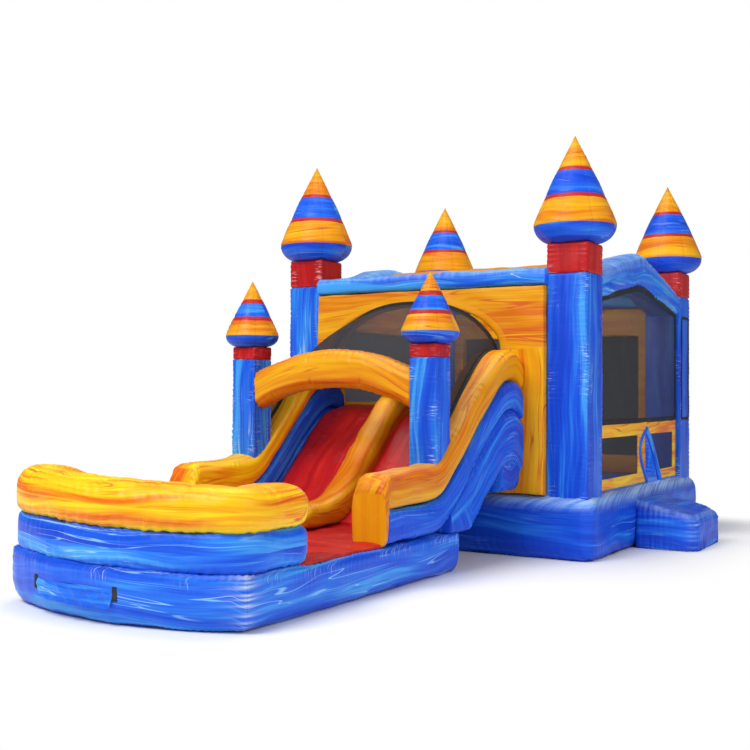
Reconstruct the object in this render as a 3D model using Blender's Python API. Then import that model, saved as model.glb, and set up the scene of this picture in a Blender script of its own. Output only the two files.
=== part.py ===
# Inflatable castle bounce house with a dual-lane slide and a landing pool.
# Metres, +Z up, ground at z = 0, origin under the middle of the bounce room,
# slide towards -Y, entrance towards +X.
import bpy
import bmesh
from math import asin, cos, pi, radians, sin, sqrt, tan
from mathutils import Vector

# Fits
GAP = 0.0003
SKIN = 0.006
WEBBING = 0.004
WEB_WIDTH = 0.035
FULL = 0.5
PLUMP = 0.55
SQUARISH = 0.45
FLATTISH = 0.25

# Bounce room
COLUMN_SPAN_X = 3.40
COLUMN_SPAN_Y = 3.42
COLUMN_WIDTH = 0.46
COLUMN_CORNER = 0.05
COLUMN_EDGE = 0.02
SHEET_THICK = 0.004
BASE_TOP = 0.67
BASE_OVERHANG = 0.10
BASE_SHOULDER = 0.09
BASE_TUCK = 0.10
BASE_CORNER = 0.16
COLLAR_BOTTOM = 3.05
COLLAR_TOP = 3.38
SPIRE_HEIGHT = 1.18
SPIRE_RADIUS = 0.45
SPIRE_WIDEST = 0.82
SPIRE_BELLY = 0.10
SPIRE_TIP = 0.012
SPIRE_SIDES = 18
SPIRE_BOWL_TURNS = (25, 50, 75)
SPIRE_CONE_SHARES = (0, 0.12, 0.3, 0.5, 0.7, 0.88)
WALL_PROUD = 0.08
WALL_THICK = 0.30
WALL_TOP = 2.93
BEAM_HEIGHT = 0.20
GABLE_EAVE = 2.79
GABLE_PEAK = 3.03
GABLE_DEPTH = 0.32
GABLE_CROWN = 0.10
GABLE_SOFT = 0.15
GABLE_ROWS = 13
ROOF_ROWS = 9
RIDGE_DROP = 0.06
SIDE_WALL_THICK = 0.22
NET_INSET = 0.06
BAND_BOTTOM = 1.42
BAND_HEIGHT = 0.04
WINDOW_FRAME_SIDE = 0.1497
WINDOW_FRAME_BACK = 0.1397
WINDOW_SILL = 0.92
WINDOW_HEAD = 2.55
RAMP_STEPS = 4
RAMP_LENGTH = 1.25
RAMP_LEDGE = 0.25

# Entrance
FLAP_THICK = 0.024
FLAP_LIFT = 0.02
FLAP_SIDE_GAP = 0.005
SLIT_Y = 0.24
SLIT_PULL_FRONT = 0.30
SLIT_PULL_REAR = 0.58
SLIT_TOP = 0.08
SLIT_CLEAR = 0.0012
SLIT_BOW = 0.8
SLIT_CLOSE = 0.33
SLIT_SLANT = 0.9
FLAP_HEM = 0.12
FLAP_HEADER = 0.15
FLAP_BORDER = 0.13
FLAP_SLIT_BORDER = 0.07
FLAP_HEAD_STEPS = 5
FLAP_ROWS = 9
STEP_LENGTH = 1.10
STEP_DEPTH = 0.70
STEP_HEIGHT = 0.54
STEP_FALL = 0.28
STEP_Y = -0.12
STEP_CHAMFER = 0.10
INLET_RADIUS = 0.15
INLET_WALL = 0.01
INLET_LENGTH = 0.45
INLET_X = -1.10
INLET_Z = 0.335
INLET_SIDES = 20

# Slide
SLIDE_X = -0.15
SLIDE_HALF = 1.27
RAIL_WIDTH = 0.35
RAIL_FRONT = -4.70
RAIL_FLAT = 1.05
RAIL_PEAK = 2.27
RAIL_NOSE = 0.18
RAIL_DEPTH = 0.33
TUBE_DEPTH = 0.30
LEG_THICK = 0.06
LEG_STEP = 0.001
POCKET_EDGE = 0.001
SLOPE_START = -3.67
SLOPE_ANGLE = radians(45)
FOOT_BLEND = 0.08
FOOT_LEAD = 0.12
SLOPE_ROWS = 20
PEAK_BLEND = 0.12
DROOP_START = -2.25
WALL_DROOP = 0.14
LANE_THICK = 0.35
LANE_ROWS = 19
DIVIDER_HALF = 0.14
DIVIDER_RISE = 0.24
DIVIDER_FRONT = -4.45
DIVIDER_LIP = 0.06
DIVIDER_NOSE = 0.30
SLIDE_BASE_TOP = 0.40
SLIDE_BASE_BACK = -3.25
SLIDE_BASE_TUCK = 0.13
SLIDE_BASE_SHOULDER = 0.05
FLOOR_MAT = 0.03
SUPPORT_LENGTH = 0.42
SUPPORT_HEIGHT = 0.3541
SUPPORT_INSET = 0.04
SLIDE_COLUMN_REACH = 1.09
SLIDE_COLUMN_Y = -3.58
SLIDE_COLUMN_WIDTH = 0.295
SLIDE_COLUMN_EDGE = 0.015
SLIDE_COLLAR_BOTTOM = 2.11
SLIDE_COLLAR_TOP = 2.24
SLIDE_SPIRE_HEIGHT = 0.71
SLIDE_SPIRE_RADIUS = 0.292
ARCH_END = 1.60
ARCH_RISE = 0.21
ARCH_DEPTH = 0.39
ARCH_ROWS = 15
HOOD_SEAT = 0.75
HOOD_ROUND = 2.4
HOOD_FULL = 0.6
HOOD_COLUMNS = 17
DOOR_HALF = 1.10
DOOR_SPRING = 2.25
DOOR_PEAK = 2.78
DOOR_STEPS = 14

# Landing pool
POOL_FRONT = -6.95
POOL_RADIUS = 2.68
POOL_CENTRE = POOL_FRONT + POOL_RADIUS
BOW_FACETS = 48
POOL_WALL_TOP = 0.70
POOL_BUMPER_TOP = 1.12
POOL_TRACK = 0.20
POOL_WALL_THICK = 0.34
POOL_BUMPER_THICK = 0.42
POOL_RETURN_END = -5.90
POOL_END_SIZE = 0.9
POOL_END_LENGTH = 0.05
POOL_ROWS = 13
FLOOR_ROWS = 9
VENT_WIDTH = 0.88
VENT_TOP = 0.28
VENT_BOTTOM = 0.135
VENT_X = -0.36
VENT_TAB = 0.05
VENT_CLEAR = 0.002
VENT_FACETS = 8

# Finishes: colour, roughness
FINISH = {
    "blue": ((0.03, 0.14, 0.78), 0.32),
    "yellow": ((0.95, 0.50, 0.03), 0.32),
    "red": ((0.62, 0.03, 0.03), 0.35),
    "black": ((0.015, 0.015, 0.018), 0.8),
    "net": ((0.03, 0.03, 0.04), 0.85),
}

# Worked out
HALF_X = COLUMN_SPAN_X / 2
HALF_Y = COLUMN_SPAN_Y / 2
COLUMN_HALF = COLUMN_WIDTH / 2
OUTER_X = HALF_X + COLUMN_HALF
OUTER_Y = HALF_Y + COLUMN_HALF
INNER_X = HALF_X - COLUMN_HALF - GAP
INNER_Y = HALF_Y - COLUMN_HALF - GAP
BASE_HALF_X = OUTER_X + BASE_OVERHANG
BASE_HALF_Y = OUTER_Y + BASE_OVERHANG
DECK = BASE_TOP + GAP
WALL_FRONT = -OUTER_Y - WALL_PROUD
WALL_BACK = WALL_FRONT + WALL_THICK
BEAM_TOP = WALL_TOP + GAP + BEAM_HEIGHT
NET_X = OUTER_X - NET_INSET
SLIDE_END = WALL_FRONT - GAP
RAIL_INNER = SLIDE_HALF - RAIL_WIDTH
FLOOR_TOP = SLIDE_BASE_TOP + GAP + FLOOR_MAT
LANE_DROP = RAIL_FLAT - FLOOR_TOP
SILL = RAIL_PEAK - LANE_DROP
FLAP_AXIS_Z = BAND_BOTTOM - GAP - FLAP_THICK / 2
FLAP_BOTTOM = BASE_TOP + FLAP_LIFT
FLAP_WINDOW_SILL = FLAP_BOTTOM + FLAP_HEM
FLAP_WINDOW_HEAD = BAND_BOTTOM - FLAP_HEADER
SLIDE_SEAT = SLIDE_BASE_TOP + GAP
SUPPORT_FOOT = DECK + BASE_SHOULDER / 2
SUPPORT_TOP = SUPPORT_FOOT + SUPPORT_HEIGHT
LOWER_TUBE_DEPTH = RAIL_PEAK - RAIL_DEPTH - TUBE_DEPTH - SUPPORT_TOP - 2 * GAP
CANOPY_FRONT = SLIDE_COLUMN_Y + SLIDE_COLUMN_WIDTH / 2 + 2 * GAP

for old in list(bpy.data.objects):
    bpy.data.objects.remove(old)


def finish(name, kind):
    colour, roughness = FINISH[kind]
    material = bpy.data.materials.new(name)
    material.use_nodes = True
    shader = material.node_tree.nodes["Principled BSDF"]
    shader.inputs["Base Color"].default_value = (*colour, 1)
    shader.inputs["Roughness"].default_value = roughness
    shader.inputs["Metallic"].default_value = 0
    return material


def make(name, bm, kind, origin=(0, 0, 0)):
    bmesh.ops.translate(bm, verts=bm.verts, vec=-Vector(origin))
    bmesh.ops.recalc_face_normals(bm, faces=bm.faces)
    mesh = bpy.data.meshes.new(name)
    bm.to_mesh(mesh)
    bm.free()
    mesh.shade_smooth()
    mesh.set_sharp_from_angle(angle=radians(50))
    mesh.materials.append(finish(name, kind))
    piece = bpy.data.objects.new(name, mesh)
    piece.location = origin
    bpy.context.scene.collection.objects.link(piece)
    return piece


def loft(name, rings, kind, origin=(0, 0, 0)):
    bm = bmesh.new()
    loops = [[bm.verts.new(point) for point in ring] for ring in rings]
    count = len(loops[0])
    for low, high in zip(loops, loops[1:]):
        for i in range(count):
            j = (i + 1) % count
            bm.faces.new((low[i], low[j], high[j], high[i]))
    bm.faces.new(loops[0])
    bm.faces.new(loops[-1])
    return make(name, bm, kind, origin)


def plate(name, outline, normal, thick, kind, origin=(0, 0, 0)):
    bm = bmesh.new()
    face = bm.faces.new([bm.verts.new(point) for point in outline])
    grown = bmesh.ops.extrude_face_region(bm, geom=[face])
    moved = [item for item in grown["geom"] if isinstance(item, bmesh.types.BMVert)]
    bmesh.ops.translate(bm, verts=moved, vec=Vector(normal) * thick)
    return make(name, bm, kind, origin)


def cut(piece, cutter):
    cutter.hide_render = True
    cutter.display_type = "WIRE"
    boolean = piece.modifiers.new("cut", "BOOLEAN")
    boolean.operation = "DIFFERENCE"
    boolean.solver = "EXACT"
    boolean.object = cutter


def spread(low, high, count):
    return [low + (high - low) * i / (count - 1) for i in range(count)]


def rounded(half_a, half_b, radius, steps=3):
    points = []
    for corner in range(4):
        side_a = 1 if corner in (0, 3) else -1
        side_b = 1 if corner < 2 else -1
        for step in range(steps + 1):
            turn = pi / 2 * (corner + step / steps)
            a = side_a * (half_a - radius) + radius * cos(turn)
            b = side_b * (half_b - radius) + radius * sin(turn)
            points.append((a, b))
    return points


def puffed(half_a, half_b, power, count=12):
    # full section with a narrow flat on each of its four sides
    points = []
    full = cos(pi / count) ** power
    for i in range(count):
        turn = 2 * pi * (i + 0.5) / count
        a = half_a * abs(cos(turn)) ** power / full
        b = half_b * abs(sin(turn)) ** power / full
        points.append((a if cos(turn) > 0 else -a, b if sin(turn) > 0 else -b))
    return points


def levels(low, high, tuck, shoulder, steps=3, power=PLUMP):
    # heights with how far the side draws in at each
    found = []
    for i in range(2 * steps + 1):
        turn = pi / 2 * (i / steps - 1)
        swing = abs(sin(turn)) ** power
        height = (low + high) / 2 + (high - low) / 2 * (swing if turn > 0 else -swing)
        drawn = (shoulder if turn > 0 else tuck) * (1 - abs(cos(turn)) ** power)
        found.append((height, drawn))
    return found


def cushion(name, centre, half, corner, low, high, tuck, shoulder, kind):
    rings = []
    for height, drawn in levels(low, high, tuck, shoulder):
        outline = rounded(half[0] - drawn, half[1] - drawn, corner)
        rings.append([(centre[0] + a, centre[1] + b, height) for a, b in outline])
    return loft(name, rings, kind)


def post(name, x, y, width, corner, low, high, edge, kind):
    rings = []
    for height, drawn in ((low, edge), (low + edge, 0), (high - edge, 0), (high, edge)):
        outline = rounded(width / 2 - drawn, width / 2 - drawn, corner)
        rings.append([(x + a, y + b, height) for a, b in outline])
    return loft(name, rings, kind)


def spire(name, x, y, foot, low, height, radius):
    # turned profile: bowl, widest ring, then a long cone with a little belly
    bowl = height * (1 - SPIRE_WIDEST)
    profile = [(foot, low)]
    for turn in [radians(angle) for angle in SPIRE_BOWL_TURNS]:
        profile.append((foot + (radius - foot) * sin(turn), low + bowl * (1 - cos(turn))))
    for share in SPIRE_CONE_SHARES:
        belly = 1 - share + SPIRE_BELLY * sin(pi * share)
        profile.append((radius * belly, low + bowl + share * height * SPIRE_WIDEST))
    profile.append((SPIRE_TIP, low + height))
    turns = [2 * pi * i / SPIRE_SIDES for i in range(SPIRE_SIDES)]
    rings = []
    for reach, z in profile:
        rings.append([(x + reach * cos(t), y + reach * sin(t), z) for t in turns])
    return loft(name, rings, "yellow")


def soft_step(value, blend):
    return (value + sqrt(value * value + 4 * blend * blend)) / 2


def slope_line(y):
    climb = (y - SLOPE_START) * tan(SLOPE_ANGLE)
    rise = RAIL_PEAK - RAIL_FLAT
    return RAIL_FLAT + soft_step(climb, FOOT_BLEND) - soft_step(climb - rise, PEAK_BLEND)


def rail_crest(y):
    past = max(0, y - DROOP_START) / (SLIDE_END - DROOP_START)
    return slope_line(y) - WALL_DROOP * past * past


def lane_top(y):
    return slope_line(y) - LANE_DROP


def band(name, x_low, x_high, stations, power, kind):
    # stations give y, lower z and upper z of a tube that runs along the slide
    rings = []
    for y, low, high in stations:
        section = puffed((x_high - x_low) / 2, (high - low) / 2, power)
        rings.append([((x_low + x_high) / 2 + a, y, (low + high) / 2 + b) for a, b in section])
    return loft(name, rings, kind)


# Ground sheet, base and corner towers
def ground_sheet():
    outline = rounded(BASE_HALF_X - BASE_TUCK / 2, BASE_HALF_Y - BASE_TUCK / 2, BASE_CORNER)
    plate("ground_sheet", [(a, b, 0) for a, b in outline], (0, 0, 1), SHEET_THICK, "black")


def house_base():
    half = (BASE_HALF_X, BASE_HALF_Y)
    low = SHEET_THICK + GAP
    limits = (low, BASE_TOP, BASE_TUCK, BASE_SHOULDER)
    cushion("house_base", (0, 0), half, BASE_CORNER, *limits, "blue")


def corner_towers():
    low = COLLAR_BOTTOM + GAP
    foot = COLLAR_TOP + GAP
    for row, y in (("front", -HALF_Y), ("back", HALF_Y)):
        for side, x in (("left", -HALF_X), ("right", HALF_X)):
            place = f"{row}_{side}"
            shape = (x, y, COLUMN_WIDTH, COLUMN_CORNER)
            post(f"column_{place}", *shape, DECK, COLLAR_BOTTOM, COLUMN_EDGE, "blue")
            post(f"collar_{place}", *shape, low, COLLAR_TOP, COLUMN_EDGE, "red")
            spire(f"spire_{place}", x, y, COLUMN_HALF, foot, SPIRE_HEIGHT, SPIRE_RADIUS)


# Front wall with the arched way to the slide
def door_outline(y, half, sill, spring, peak):
    points = [(SLIDE_X + half, y, sill), (SLIDE_X + half, y, spring)]
    for i in range(1, DOOR_STEPS):
        turn = pi * i / DOOR_STEPS
        points.append((SLIDE_X + half * cos(turn), y, spring + (peak - spring) * sin(turn)))
    points += [(SLIDE_X - half, y, spring), (SLIDE_X - half, y, sill)]
    return points


def front_wall():
    low = DECK
    corners = [(-INNER_X, low), (INNER_X, low), (INNER_X, WALL_TOP), (-INNER_X, WALL_TOP)]
    outline = [(x, WALL_FRONT, z) for x, z in corners]
    wall = plate("front_wall", outline, (0, 1, 0), WALL_THICK, "yellow")
    reach = 3 * WALL_THICK
    way = door_outline(WALL_FRONT - WALL_THICK, DOOR_HALF, SILL, DOOR_SPRING, DOOR_PEAK)
    cut(wall, plate("front_wall_cutter", way, (0, 1, 0), reach, "yellow"))


def beam(name, y_low, y_high):
    low = WALL_TOP + GAP
    section = puffed((y_high - y_low) / 2, BEAM_HEIGHT / 2, FULL)
    y = (y_low + y_high) / 2
    z = (low + BEAM_TOP) / 2
    rings = [[(x, y + a, z + b) for a, b in section] for x in (-INNER_X, INNER_X)]
    loft(name, rings, "blue")


# Side gables and roof
def gable_shape(y):
    soft = GABLE_SOFT
    share = y / INNER_Y
    return 1 - (sqrt(share * share + soft * soft) - soft) / (sqrt(1 + soft * soft) - soft)


def gable_under(y):
    return GABLE_EAVE + (GABLE_PEAK - GABLE_EAVE) * gable_shape(y)


def gable_over(y):
    return gable_under(y) + GABLE_DEPTH + GABLE_CROWN * gable_shape(y)


def gable(name, side):
    middle = side * HALF_X
    rings = []
    for y in spread(-INNER_Y, INNER_Y, GABLE_ROWS):
        low = gable_under(y)
        high = gable_over(y)
        section = puffed(COLUMN_HALF - GAP, (high - low) / 2, FULL)
        rings.append([(middle + a, y, (low + high) / 2 + b) for a, b in section])
    loft(name, rings, "blue")


def roof_sheet():
    # one sheet from beam to beam over the ridge line
    eave = BEAM_TOP + GAP
    ridge = gable_over(0) - RIDGE_DROP
    reach = OUTER_Y - COLUMN_HALF
    rings = []
    for y in spread(-reach, reach, ROOF_ROWS):
        z = eave + (ridge - eave) * (1 - abs(y) / reach)
        high = z + SKIN
        rings.append([(-INNER_X, y, z), (INNER_X, y, z), (INNER_X, y, high), (-INNER_X, y, high)])
    loft("roof_sheet", rings, "yellow")


# Side and back walls with their windows
def side_outline(x, low, drop):
    points = [(x, -INNER_Y, low), (x, INNER_Y, low)]
    points += [(x, y, gable_under(y) - drop) for y in spread(INNER_Y, -INNER_Y, GABLE_ROWS)]
    return points


def window_outline(half, grow):
    wide = half - grow
    low = WINDOW_SILL + grow
    high = WINDOW_HEAD - grow
    return [(-wide, low), (wide, low), (wide, high), (-wide, high)]


def left_wall():
    outer = -HALF_X - SIDE_WALL_THICK / 2
    wall = plate("left_wall", side_outline(outer, DECK, GAP), (1, 0, 0), SIDE_WALL_THICK, "yellow")
    half = INNER_Y - WINDOW_FRAME_SIDE
    hole = [(outer - SIDE_WALL_THICK, y, z) for y, z in window_outline(half, 0)]
    cut(wall, plate("left_wall_cutter", hole, (1, 0, 0), 3 * SIDE_WALL_THICK, "yellow"))
    net = [(-HALF_X, y, z) for y, z in window_outline(half, GAP)]
    plate("left_window_net", net, (1, 0, 0), SKIN, "net")


def back_wall():
    near = HALF_Y - SIDE_WALL_THICK / 2
    corners = [(-INNER_X, DECK), (INNER_X, DECK), (INNER_X, WALL_TOP), (-INNER_X, WALL_TOP)]
    outline = [(x, near, z) for x, z in corners]
    wall = plate("back_wall", outline, (0, 1, 0), SIDE_WALL_THICK, "yellow")
    half = INNER_X - WINDOW_FRAME_BACK
    hole = [(x, near - SIDE_WALL_THICK, z) for x, z in window_outline(half, 0)]
    cut(wall, plate("back_wall_cutter", hole, (0, 1, 0), 3 * SIDE_WALL_THICK, "yellow"))
    net = [(x, HALF_Y, z) for x, z in window_outline(half, GAP)]
    plate("back_window_net", net, (0, 1, 0), SKIN, "net")


# Entrance side
def entrance_net():
    low = BAND_BOTTOM + BAND_HEIGHT + GAP
    plate("right_window_net", side_outline(NET_X - SKIN / 2, low, GAP), (1, 0, 0), SKIN, "net")
    x = NET_X - FLAP_THICK / 2
    high = BAND_BOTTOM + BAND_HEIGHT
    corners = [(-INNER_Y, BAND_BOTTOM), (INNER_Y, BAND_BOTTOM), (INNER_Y, high), (-INNER_Y, high)]
    plate("net_band", [(x, y, z) for y, z in corners], (1, 0, 0), FLAP_THICK, "black")


def slit_edge(z, side):
    # free edge of a flap: drawn back from the slit like the side of a lens
    share = (FLAP_AXIS_Z - SLIT_TOP - z) / (FLAP_AXIS_Z - SLIT_TOP - FLAP_BOTTOM)
    share = max(0, share)
    if side < 0:
        bow = sin(pi * share ** SLIT_BOW) * (1 - share * SLIT_CLOSE)
        return SLIT_Y - SLIT_CLEAR - SLIT_PULL_FRONT * bow
    return SLIT_Y + SLIT_CLEAR + SLIT_PULL_REAR * share ** SLIT_SLANT


def entry_flap(name, side):
    # rounded head on the hinge line, then the cloth hanging below it
    radius = FLAP_THICK / 2
    outer = side * (INNER_Y - FLAP_SIDE_GAP)
    turns = spread(-pi / 2, pi / 2, FLAP_HEAD_STEPS)
    heads = [(radius * sin(t), FLAP_AXIS_Z + radius * cos(t)) for t in turns]
    drops = spread(FLAP_AXIS_Z, FLAP_BOTTOM, FLAP_ROWS)[1:]
    profile = [(-radius, z) for z in reversed(drops)] + heads + [(radius, z) for z in drops]
    outline = [(NET_X + a, outer, z) for a, z in profile]
    inner = [(NET_X + a, slit_edge(min(z, FLAP_AXIS_Z), side), z) for a, z in profile]
    piece = loft(name, [outline, inner], "yellow", (NET_X, 0, FLAP_AXIS_Z))
    limits = flap_window(side)
    hole = [(NET_X - FLAP_THICK, y, z) for y, z in limits]
    cut(piece, plate(f"{name}_cutter", hole, (1, 0, 0), 2 * FLAP_THICK, "yellow"))


def flap_window(side, grow=0):
    # four-sided window whose inner edge keeps its border to the slit
    low = FLAP_WINDOW_SILL + grow
    high = FLAP_WINDOW_HEAD - grow
    far = side * (INNER_Y - FLAP_SIDE_GAP - FLAP_BORDER - grow)
    if side < 0:
        edges = [slit_edge(z, side) for z in spread(low, high, FLAP_ROWS)]
        near = min(edges) - FLAP_SLIT_BORDER - grow
        return [(far, low), (near, low), (near, high), (far, high)]
    near = [slit_edge(z, side) + FLAP_SLIT_BORDER + grow for z in (low, high)]
    return [(near[0], low), (far, low), (far, high), (near[1], high)]


def entry_flaps():
    for name, side in (("front", -1), ("rear", 1)):
        entry_flap(f"entry_flap_{name}", side)
        net = [(NET_X - SKIN / 2, y, z) for y, z in flap_window(side, GAP)]
        plate(f"entry_net_{name}", net, (1, 0, 0), SKIN, "net", (NET_X, 0, FLAP_AXIS_Z))


def banner_strip():
    # hook-and-loop border on the outer face of the back right column
    x = OUTER_X + GAP
    half = COLUMN_HALF - COLUMN_CORNER
    low = BAND_BOTTOM
    high = GABLE_EAVE
    strip = plate("banner_strip", upright(x, half, low, high), (1, 0, 0), WEBBING, "black")
    hole = upright(x - WEBBING, half - WEB_WIDTH, low + WEB_WIDTH, high - WEB_WIDTH)
    cut(strip, plate("banner_cutter", hole, (1, 0, 0), 3 * WEBBING, "black"))


def upright(x, half, low, high):
    near = HALF_Y - half
    far = HALF_Y + half
    return [(x, near, low), (x, far, low), (x, far, high), (x, near, high)]


def entry_step():
    near = BASE_HALF_X + GAP
    rings = []
    for height, drawn in levels(0, STEP_HEIGHT, BASE_TUCK / 2, BASE_SHOULDER):
        far = near + STEP_DEPTH - drawn
        half = STEP_LENGTH / 2 - drawn
        outline = [
            (near, -half),
            (far - STEP_CHAMFER, -half),
            (far, -half + STEP_CHAMFER),
            (far, half - STEP_CHAMFER),
            (far - STEP_CHAMFER, half),
            (near, half),
        ]
        # the top falls away from the base
        falls = [1 - STEP_FALL * (x - near) / STEP_DEPTH for x, _ in outline]
        rings.append([(x, STEP_Y + y, height * fall) for (x, y), fall in zip(outline, falls)])
    loft("entry_step", rings, "blue")


def climb_ramp():
    # stepped climb from the bounce floor to the top of the slide
    near = WALL_BACK + GAP
    foot = near + RAMP_LEDGE + RAMP_LENGTH
    rise = (SILL - DECK) / RAMP_STEPS
    run = RAMP_LENGTH / RAMP_STEPS
    outline = [(near, DECK), (near, SILL), (near + RAMP_LEDGE, SILL)]
    for i in range(1, RAMP_STEPS):
        y = near + RAMP_LEDGE + run * i
        outline.append((y - run / 2, SILL - rise * i))
        outline.append((y, SILL - rise * i))
    outline.append((foot, DECK))
    low = SLIDE_X - RAIL_INNER
    plate("climb_ramp", [(low, y, z) for y, z in outline], (1, 0, 0), 2 * RAIL_INNER, "blue")


def inlet_sleeve():
    near = BASE_HALF_Y + GAP
    far = near + INLET_LENGTH
    inner = INLET_RADIUS - INLET_WALL
    turns = [2 * pi * i / INLET_SIDES for i in range(INLET_SIDES)]
    bm = bmesh.new()
    loops = []
    for radius, y in ((INLET_RADIUS, near), (INLET_RADIUS, far), (inner, far), (inner, near)):
        ring = [(INLET_X + radius * cos(t), y, INLET_Z + radius * sin(t)) for t in turns]
        loops.append([bm.verts.new(point) for point in ring])
    for first, second in zip(loops, loops[1:] + loops[:1]):
        for i in range(INLET_SIDES):
            j = (i + 1) % INLET_SIDES
            bm.faces.new((first[i], first[j], second[j], second[i]))
    make("inlet_sleeve", bm, "blue")


# Slide base, floor and pool
def pool_plan(inset, back):
    half = SLIDE_HALF - inset
    radius = POOL_RADIUS - inset
    turn = asin(half / radius)
    points = []
    for t in spread(-turn, turn, BOW_FACETS + 1):
        points.append((SLIDE_X + radius * sin(t), POOL_CENTRE - radius * cos(t)))
    return points + [(SLIDE_X + half, back), (SLIDE_X - half, back)]


def slide_base():
    rings = []
    for height, drawn in levels(0, SLIDE_BASE_TOP, SLIDE_BASE_TUCK, SLIDE_BASE_SHOULDER):
        rings.append([(x, y, height) for x, y in pool_plan(drawn, SLIDE_BASE_BACK)])
    loft("slide_base", rings, "blue")


def landing_floor():
    side = SLIDE_HALF - SLIDE_BASE_SHOULDER
    lane = RAIL_INNER - GAP
    back = SLIDE_BASE_BACK
    gate_back = RAIL_FRONT - GAP
    gate_front = POOL_RETURN_END + GAP
    inside = POOL_TRACK + POOL_WALL_THICK / 2 + FLOOR_MAT
    hollow = POOL_RADIUS - inside
    pool = SLIDE_HALF - inside
    turn = asin(pool / hollow)
    right = [(lane, back), (lane, gate_back), (side, gate_back)]
    right += [(side, gate_front), (pool, gate_front)]
    bow = [(hollow * sin(t), POOL_CENTRE - hollow * cos(t)) for t in spread(turn, -turn, FLOOR_ROWS)]
    left = [(-x, y) for x, y in reversed(right)]
    outline = [(SLIDE_X + x, y, SLIDE_SEAT) for x, y in right + bow + left]
    plate("landing_floor", outline, (0, 0, 1), FLOOR_MAT, "red")


def pool_ring(name, low, high, thick, power, kind):
    # section carried round the bowed front and the two short returns, mitred at the corners
    half = SLIDE_HALF - POOL_TRACK
    radius = POOL_RADIUS - POOL_TRACK
    turn = asin(half / radius)
    corner_y = POOL_CENTRE - radius * cos(turn)
    bend = (pi / 2 - turn) / 2
    full_y = POOL_RETURN_END - POOL_END_LENGTH
    # each station: place, facing, mitre stretch and size
    track = [(half, POOL_RETURN_END, 0, 1, POOL_END_SIZE), (half, full_y, 0, 1, 1)]
    track.append((half, corner_y, bend, 1 / cos(bend), 1))
    for t in spread(turn, -turn, POOL_ROWS)[1:-1]:
        track.append((radius * sin(t), POOL_CENTRE - radius * cos(t), pi / 2 - t, 1, 1))
    track.append((-half, corner_y, pi - bend, 1 / cos(bend), 1))
    track += [(-half, full_y, pi, 1, 1), (-half, POOL_RETURN_END, pi, 1, POOL_END_SIZE)]
    section = puffed(thick / 2, (high - low) / 2, power)
    middle = (low + high) / 2
    rings = []
    for x, y, facing, stretch, size in track:
        out_x = cos(facing) * stretch * size
        out_y = -sin(facing) * stretch * size
        rings.append([(SLIDE_X + x + out_x * a, y + out_y * a, middle + b * size) for a, b in section])
    loft(name, rings, kind)


def pool_walls():
    pool_ring("pool_wall", SLIDE_SEAT, POOL_WALL_TOP, POOL_WALL_THICK, SQUARISH, "blue")
    low = POOL_WALL_TOP + GAP
    pool_ring("pool_bumper", low, POOL_BUMPER_TOP, POOL_BUMPER_THICK, PLUMP, "yellow")


# Slide lanes, rails and side tubes
def lane_rows(front):
    return spread(front, SLIDE_END, LANE_ROWS)


def lane_low(y):
    return max(lane_top(y) - LANE_THICK, FLOOR_TOP + GAP)


def lanes():
    rows = lane_rows(SLOPE_START - FOOT_BLEND)
    stations = [(y, lane_low(y), lane_top(y)) for y in rows]
    inner = DIVIDER_HALF + GAP
    outer = RAIL_INNER - GAP
    band("slide_lane_left", SLIDE_X - outer, SLIDE_X - inner, stations, FLATTISH, "red")
    band("slide_lane_right", SLIDE_X + inner, SLIDE_X + outer, stations, FLATTISH, "red")
    stations = []
    for y in lane_rows(DIVIDER_FRONT):
        nose = min(1, (y - DIVIDER_FRONT + DIVIDER_LIP) / DIVIDER_NOSE)
        stations.append((y, lane_low(y), lane_top(y) + DIVIDER_RISE * sqrt(nose)))
    band("lane_divider", SLIDE_X - DIVIDER_HALF, SLIDE_X + DIVIDER_HALF, stations, FULL, "yellow")


def slope_rows():
    # shared by the rails and what lies on them, so that their facets match
    return sorted(spread(SLOPE_START - FOOT_LEAD, SLIDE_END, SLOPE_ROWS) + [CANOPY_FRONT])


def rail_rows():
    leg = RAIL_FRONT + LEG_THICK
    return [RAIL_FRONT, leg, leg + LEG_STEP, RAIL_FRONT + RAIL_NOSE] + slope_rows()


def rail_stations():
    leg = RAIL_FRONT + LEG_THICK
    stations = []
    for y in rail_rows():
        short = max(0, RAIL_FRONT + RAIL_NOSE - y)
        high = rail_crest(y) - RAIL_NOSE + sqrt(RAIL_NOSE ** 2 - short ** 2)
        low = SLIDE_SEAT if y <= leg else rail_crest(y) - RAIL_DEPTH
        stations.append((y, low, high))
    return stations


def tube_stations():
    front = RAIL_FRONT + LEG_THICK + LEG_STEP + GAP
    rows = [front] + [row for row in rail_rows() if row > front]
    stations = []
    for y in rows:
        high = rail_crest(y) - RAIL_DEPTH - GAP
        stations.append((y, max(high - TUBE_DEPTH + GAP, SLIDE_SEAT), high))
    return stations


def lower_tube_stations():
    drop = RAIL_DEPTH + TUBE_DEPTH + GAP
    stations = []
    for y in [row for row in slope_rows() if row > SLOPE_START + FOOT_BLEND]:
        high = rail_crest(y) - drop
        # beside the house the tube stays above its base
        floor = DECK if y > -BASE_HALF_Y else SLIDE_SEAT
        stations.append((y, max(high - LOWER_TUBE_DEPTH, floor), high))
    return stations


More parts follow.
